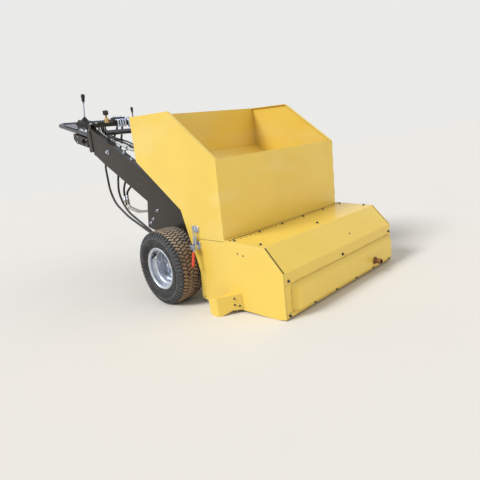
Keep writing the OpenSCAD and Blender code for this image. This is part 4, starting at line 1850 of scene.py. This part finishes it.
@dataclass
class Engine(Part):
    """Trim of the engine, the oil tank and the pump.

    Fields:
        front: Y of the engine's front.
        bed: height of the engine's bed.
        cover_bolts: bolts round the crankcase cover.
        cover: radius of their circle.
    """

    front: float = ENGINE_FRONT
    bed: float = 560.0
    cover_bolts: int = 6
    cover: float = 36.0

    def build(self) -> None:
        """Builds the trim."""
        self._bolts()
        self._starter()
        self._spark_plug()
        self._caps()

    def _bolts(self) -> None:
        """Bolts of the crankcase, bed, muffler and pump."""
        shape = self.datum()
        y = self.front
        for x in (-90, 100):
            for away in (14, 190):
                shape.fastener((x * 1.35, y + away - 2, self.bed), (0, 0, 1), 13)
        for i in range(self.cover_bolts):
            a = math.radians(360 / self.cover_bolts * i + 20)
            away, up = self.cover * math.cos(a), self.cover * math.sin(a)
            shape.fastener((130, y + 90 + away, self.bed + 45 + up), (1, 0, 0), 8)
        for away, z in ((34, 700), (156, 700), (34, 772), (156, 772)):
            shape.fastener((194.5, y + away, z), (1, 0, 0), 8, Head.BUTTON)
        for x in (-40, 20):
            for z in (578, 622):
                shape.fastener((x, y + 298, z), (0, 1, 0), 8, Head.BUTTON)
        shape.piece("engine_bolts", ZINC)

    def _starter(self) -> None:
        """Starter cup on the fan housing and the pull grip."""
        shape = self.datum()
        base = frame_at((-178, self.front + 102, 680), (-1, 0, 0))
        cup = [(0, -1), (36, -1), (36, 3), (33, 6), (20, 7.5), (18, 5.5), (8, 5.5), (7, 8), (0, 8)]
        shape.lathe(cup, base, 40)
        grip = frame_at((-166, self.front + 20, 742), (-1, -0.3, 0.2))
        shape.lathe([(0, 0), (6, 0), (8, 4), (7, 10), (8.4, 18), (6, 24), (0, 25)], grip, 20)
        shape.piece("starter_grip", KNOB)

    def _spark_plug(self) -> None:
        """Plug cap on the head and its lead into the housing."""
        shape = self.datum()
        y = self.front
        cap = frame_at((10, y + 26, 782), (0, -1, 0.35))
        shape.lathe([(0, 0), (11, 0), (11, 12), (8.5, 15), (8.5, 34), (6, 40), (0, 41)], cap, 20)
        lead = [
            (10, y - 8, 794), (-20, y - 20, 790), (-70, y - 16, 760), (-96, y + 10, 735),
            (-98, y + 30, 725),
        ]
        shape.tube(round_path(lead, 22), 3.4, 10)
        shape.piece("spark_plug_lead", RUBBER)

    def _caps(self) -> None:
        """Ribbed caps of the fuel tank, oil tank and air cleaner."""
        shape = self.datum()
        y = self.front
        for at, radius, height, ribs in (
            ((60, y + 100, 878), 32, 9, 24),
            ((0, 1470, 838), 28, 9, 24),
            ((5, y + 227, 801), 12, 8, 12),
        ):
            base = frame_at(at, (0, 0, 1))
            profile = [(0, 0), (radius, 0), (radius, height - 2), (radius - 3, height), (0, height)]
            shape.lathe(profile, base, 36)
            for i in range(ribs):
                rib = base @ Matrix.Rotation(2 * math.pi * i / ribs, 4, "Z")
                shape.block((radius, 0, height / 2 - 1), (2.4, 2.8, height - 3), 0.6, rib)
        shape.piece("filler_caps", KNOB)


@dataclass
class WheelPart(Part):
    """What turns with one wheel.

    Fields:
        side: -1 for the left wheel, 1 for the right one.
    """

    side: int

    @property
    def label(self) -> str:
        """The side's word in the pieces' names."""
        return "left" if self.side < 0 else "right"

    @property
    def body(self) -> Body:
        """The body that the wheel's pieces ride on."""
        return Body.WHEEL_LEFT if self.side < 0 else Body.WHEEL_RIGHT

    def on_axle(self, out: float) -> Vector:
        """The axle's point at a distance from the machine's middle."""
        return Vector((self.side * out, *self.datum.axle))

    def outwards(self, at: Sequence[float]) -> Matrix:
        """Frame at a point with Z along the axle, outwards."""
        return frame_at(at, (self.side, 0, 0))


@dataclass
class TurfTyre(WheelPart):
    """A tubeless tyre with a fine block tread.

    Fields:
        middle: distance of its middle from the machine's middle.
        radius: radius over the tread.
        width: section width.
        bead: radius where it sits on the rim.
        depth: depth of the tread.
        pitches: blocks in a row, and lugs on a shoulder.
        rows: rows of blocks.
        row_step: distance from row to row.
        flat: half width of the tread's flat middle.
    """

    middle: float = 495.5
    radius: float = 204.4
    width: float = 164.6
    bead: float = 116.4
    depth: float = 7.5
    pitches: int = 60
    rows: int = 4
    row_step: float = 31.6
    flat: float = 42.0

    def crown(self, x: float) -> float:
        """Radius of the tread's top.

        Args:
            x: distance from the tyre's middle.

        Returns:
            The radius there.
        """
        off = abs(x)
        if off < self.flat:
            return self.radius - 0.0004 * off * off
        return self.radius - 0.7 - 0.0092 * (off - self.flat) ** 2

    def build(self) -> None:
        """Builds the tyre."""
        shape = self.datum()
        middle = self.on_axle(self.middle)
        base = self.outwards(middle)
        self._casing(shape, base)
        self._blocks(shape, base)
        self._lugs(shape, base)
        centre = self.datum.machine() @ middle
        finish = TyreRubber(f"tyre_rubber_{self.label}", "tyre", tuple(centre))
        shape.piece(f"turf_tyre_{self.label}", finish, self.body, (f"tyre_{self.label}",))

    def _casing(self, shape: Shape, base: Matrix) -> None:
        """Sidewalls with their rings, and the ground between the blocks.

        Args:
            shape: what it is added to.
            base: the tyre's frame.
        """
        half = self.width / 2
        outer = [
            (self.bead - 11.5, 61.7), (self.bead + 0.3, 61.8), (self.bead + 1.0, 70.6),
            (self.bead + 4, 72.4), (self.bead + 7, 72.2), (self.bead + 10, 74.6),
            (self.bead + 14, 76.2), (self.bead + 16, 77.8), (self.bead + 19, 77.2),
            (self.bead + 21, 78.6), (143, half - 0.8), (150, half - 0.1), (158, half),
            (160, half - 1.0), (163, half - 0.9), (165, half - 0.1), (170, half - 0.2),
            (172.5, half - 1.2), (174.5, half - 3.4), (179, half - 5.4), (185, half - 9.4),
            (190, half - 14), (193.5, half - 19),
        ]
        ground = [(self.crown(x) - self.depth, x) for x in (56, 44, 26, 9)]
        right = outer + ground
        inner = [
            (self.bead - 11.5, 48), (self.bead + 2, 54), (140, 66), (176, half - 10),
            (190, 50), (192, 0),
        ]
        left = [(r, -x) for r, x in reversed(right)]
        profile = right + left + [(r, -x) for r, x in inner[:-1]] + inner[::-1]
        shape.lathe(profile, base, 120, True)

    def _block(self, outline: Profile, angle: float, middle: float) -> list[list[Vector]]:
        """One tread block with soft edges.

        Args:
            outline: its corners as distance along the tread and across it.
            angle: its place round the tyre.
            middle: its place across the tread.

        Returns:
            Its rings from the ground up.
        """
        rings = []
        for shrink, drop in ((1.02, self.depth + 0.8), (0.98, 1.1), (0.90, 0.0)):
            ring = []
            for along, across in outline:
                x = middle + across * shrink
                a = angle + along * shrink / self.radius
                ring.append(polar(self.crown(x) - drop, a, x))
            rings.append(ring)
        return rings

    def _blocks(self, shape: Shape, base: Matrix) -> None:
        """Rows of stepped blocks, each row turned against the next.

        Args:
            shape: what they are added to.
            base: the tyre's frame.
        """
        outline = [
            (-9.4, -14.4), (2.8, -14.4), (4.0, -5), (9.4, 2), (9.4, 14.4), (-2.8, 14.4),
            (-4.0, 5), (-9.4, -2),
        ]
        for row in range(self.rows):
            odd = row % 2
            stepped = outline if odd else [(-along, across) for along, across in outline[::-1]]
            middle = (row - (self.rows - 1) / 2) * self.row_step
            for i in range(self.pitches):
                angle = 2 * math.pi * (i + 0.5 * odd) / self.pitches
                shape.loft(self._block(stepped, angle, middle), base)

    def _lugs(self, shape: Shape, base: Matrix) -> None:
        """Short bars that run down the shoulders.

        Args:
            shape: what they are added to.
            base: the tyre's frame.
        """
        # Across, radius, and the shoulder's facing at each point of a lug's back.
        section = [
            (66.5, 200.0, 0.45, 0.89), (72.0, 196.4, 0.72, 0.69), (76.4, 189.0, 0.89, 0.45),
            (79.4, 181.0, 0.95, 0.31), (81.0, 174.0, 0.98, 0.2),
        ]
        half = 6.2
        for sign in SIDES:
            for i in range(self.pitches):
                angle = 2 * math.pi * (i + 0.25 * sign) / self.pitches
                rings = []
                for share, sink in ((1.0, 6.0), (0.94, 0.9), (0.78, 0.0)):
                    ring = []
                    for edge, points in ((-1, section), (1, section[::-1])):
                        a = angle + edge * half * share / self.radius
                        for x, radius, out, up in points:
                            ring.append(polar(radius - sink * up, a, sign * (x - sink * out)))
                    rings.append(ring)
                shape.loft(rings, base)


@dataclass
class WheelTrim(WheelPart):
    """Valve, axle nut and wheel nuts' washers of one wheel.

    Fields:
        disc: distance of the rim's disc from the machine's middle.
        valve_turn: the valve's angle round the axle, in degrees.
        studs: number of wheel nuts.
        circle: radius of their circle.
    """

    disc: float = 480.0
    valve_turn: float = 38.0
    studs: int = 5
    circle: float = 52.0

    def build(self) -> None:
        """Builds the trim."""
        self._valve()
        self._nuts()

    def _valve(self) -> None:
        """The valve's rubber foot and its cap."""
        shape = self.datum()
        turn = math.radians(self.valve_turn)
        up = Vector((0, math.cos(turn), math.sin(turn)))
        root = self.on_axle(0) + up * 96.5 + Vector((self.side * 534, 0, 0))
        base = frame_at(root, Vector((self.side, 0, 0)) * 0.9 - up * 0.45)
        shape.lathe([(0, -3), (8, -3), (8, 3), (5.6, 7), (4.6, 26), (0, 26)], base, 20)
        shape.lathe([(0, 25), (5.2, 25), (5.2, 36), (4.2, 38), (0, 38)], base, 16)
        shape.piece(f"valve_{self.label}", RUBBER, self.body)

    def _nuts(self) -> None:
        """The axle's nut and a washer under each wheel nut."""
        shape = self.datum()
        axle = self.outwards(self.on_axle(self.disc + 20))
        shape.hexagon([(15, 0), (15, 9), (13, 10.5)], axle)
        shape.lathe([(0, 9), (8, 9), (8, 16), (6.5, 17.5), (0, 17.5)], axle, 20)
        x, y, z = self.on_axle(self.disc + 5.5)
        for i in range(self.studs):
            a = 2 * math.pi * i / self.studs
            ring = self.outwards((x, y - self.circle * math.sin(a), z + self.circle * math.cos(a)))
            shape.lathe([(6.3, -0.4), (12.5, -0.4), (12.5, 1.6), (6.3, 1.9)], ring, 24, True)
        shape.piece(f"hub_nuts_{self.label}", ZINC, self.body)


# --------------------------------------------------------------------- studio


def dress_nodes(frame: dict[str, dict]) -> None:
    """Gives each CAD node its finish.
    """
    for row in frame["record"]["subparts"]:
        node = frame["nodes"][row["node"]]
        finish = OWN_FINISH.get(row["node"], NODE_FINISH[row["material_slot"]])
        material = SHELF.get(finish)
        if not node.material_slots:
            node.data.materials.append(material)
        for held in node.material_slots:
            held.material = material
        LOG.info("%s: %s", row["node"], material.name)


@dataclass(frozen=True)
class Lamp:
    """One broad, far lamp.

    Fields:
        name: its name.
        source: direction that its light comes from.
        spread: how wide it looks from the machine, in degrees.
        strength: its strength.
    """

    name: str
    source: Point
    spread: float
    strength: float

    def build(self) -> None:
        """Adds the lamp."""
        data = bpy.data.lights.new(self.name, "SUN")
        data.angle = math.radians(self.spread)
        data.energy = self.strength
        made = bpy.data.objects.new(self.name, data)
        made.rotation_mode = "QUATERNION"
        made.rotation_quaternion = Vector(self.source).to_track_quat("Z", "Y")
        bpy.context.scene.collection.objects.link(made)


@dataclass(frozen=True)
class Studio:
    """Camera, lamps, world and floor.

    Fields:
        datum: the machine's frame on the floor.
        eye: the camera in the machine's frame, in millimetres.
        yaw: its turn from +Y towards +X, in degrees.
        pitch: how far it looks down, in degrees.
        roll: its roll, in degrees.
        focal: focal length in pixels of the photograph's frame.
        rise: row of the picture's middle line in that frame.
        lamps: the lamps.
        dim: the world's strength as light.
        bright: its strength where the camera or a reflection sees it.
        reach: half of the floor's size in metres.
    """

    datum: Datum
    eye: Point = (-1715.0, -1117.0, 840.0)
    yaw: float = 43.01
    pitch: float = 11.99
    roll: float = -5.72
    focal: float = 423.5
    rise: float = 213.5
    lamps: tuple[Lamp, ...] = (
        Lamp("key", (-0.70, 0.22, 0.78), 22.0, 2.3),
        Lamp("fill", (0.22, -0.84, 0.48), 50.0, 0.58),
    )
    dim: float = 0.52
    bright: float = 0.84
    reach: float = 900.0

    def camera(self) -> None:
        """Places the camera at the photograph's viewing angle."""
        yaw, pitch, roll = (math.radians(a) for a in (self.yaw, self.pitch, self.roll))
        ahead = Vector(
            (math.sin(yaw) * math.cos(pitch), math.cos(yaw) * math.cos(pitch), -math.sin(pitch))
        )
        level = Vector((math.cos(yaw), -math.sin(yaw), 0))
        above = level.cross(ahead)
        right = level * math.cos(roll) + above * math.sin(roll)
        up = above * math.cos(roll) - level * math.sin(roll)
        turn = Matrix.Rotation(self.datum.tilt, 3, "X")
        axes = Matrix((turn @ right, turn @ up, turn @ -ahead)).transposed().to_4x4()
        data = bpy.data.cameras.new("camera")
        data.sensor_width = SENSOR
        data.lens = SENSOR * self.focal / FRAME
        data.shift_y = (self.rise - FRAME / 2) / FRAME
        data.clip_start, data.clip_end = 0.05, 100.0
        camera = bpy.data.objects.new("camera", data)
        camera.matrix_world = Matrix.Translation(self.datum.machine() @ Vector(self.eye)) @ axes
        bpy.context.scene.collection.objects.link(camera)
        bpy.context.scene.camera = camera

    def world(self) -> None:
        """Even light, cooler from above, and a pale view of it past the floor."""
        world = bpy.data.worlds.new("studio")
        g = Graph(world, "Generated")
        seen, glossy, through = (
            g.node("ShaderNodeLightPath", output=f"Is {ray} Ray")
            for ray in ("Camera", "Glossy", "Transmission")
        )
        strength = g.node(
            "ShaderNodeMapRange",
            inputs={
                "Value": seen.most(glossy.most(through)),
                "To Min": self.dim,
                "To Max": self.bright,
            },
        )
        sky = g.node(
            "ShaderNodeValToRGB",
            {"stops": ((0.12, (1.0, 0.985, 0.96)), (0.85, (0.62, 0.76, 1.0)))},
            {0: g.height()},
        )
        tone = g.mix((0.985, 0.985, 0.975), sky, glossy)
        light = g.node("ShaderNodeBackground", inputs={"Color": tone, "Strength": strength})
        g.node("ShaderNodeOutputWorld", inputs={"Surface": light})
        bpy.context.scene.world = world

    def floor(self) -> None:
        """A wide plain floor."""
        data = bpy.data.meshes.new("floor")
        corners = [
            (x * self.reach, y * self.reach, 0) for x, y in ((-1, -1), (1, -1), (1, 1), (-1, 1))
        ]
        data.from_pydata(corners, [], [(0, 1, 2, 3)])
        made = bpy.data.objects.new("floor", data)
        bpy.context.scene.collection.objects.link(made)
        g = Graph(bpy.data.materials.new("floor"))
        tone = g.mix((0.72, 0.70, 0.66), (0.76, 0.74, 0.70), g.noise(1.5, 4.0))
        data.materials.append(g.surface(Base_Color=tone, Roughness=0.85))

    def build(self) -> None:
        """Builds the studio."""
        self.camera()
        for lamp in self.lamps:
            lamp.build()
        self.world()
        self.floor()
        bpy.context.scene.view_settings.view_transform = "Standard"


def main() -> None:
    """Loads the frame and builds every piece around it."""
    logging.basicConfig(level=logging.INFO, format="%(message)s")
    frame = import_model()
    datum = Datum.from_tyre()
    Studio(datum).build()
    dress_nodes(frame)
    for kind in (Hopper, Front, Shoes, Clamps, Arms, Handle, Console, Lines, Engine):
        kind(datum).build()
    for side in SIDES:
        TurfTyre(datum, side).build()
        WheelTrim(datum, side).build()


if __name__ == "__main__":
    main()
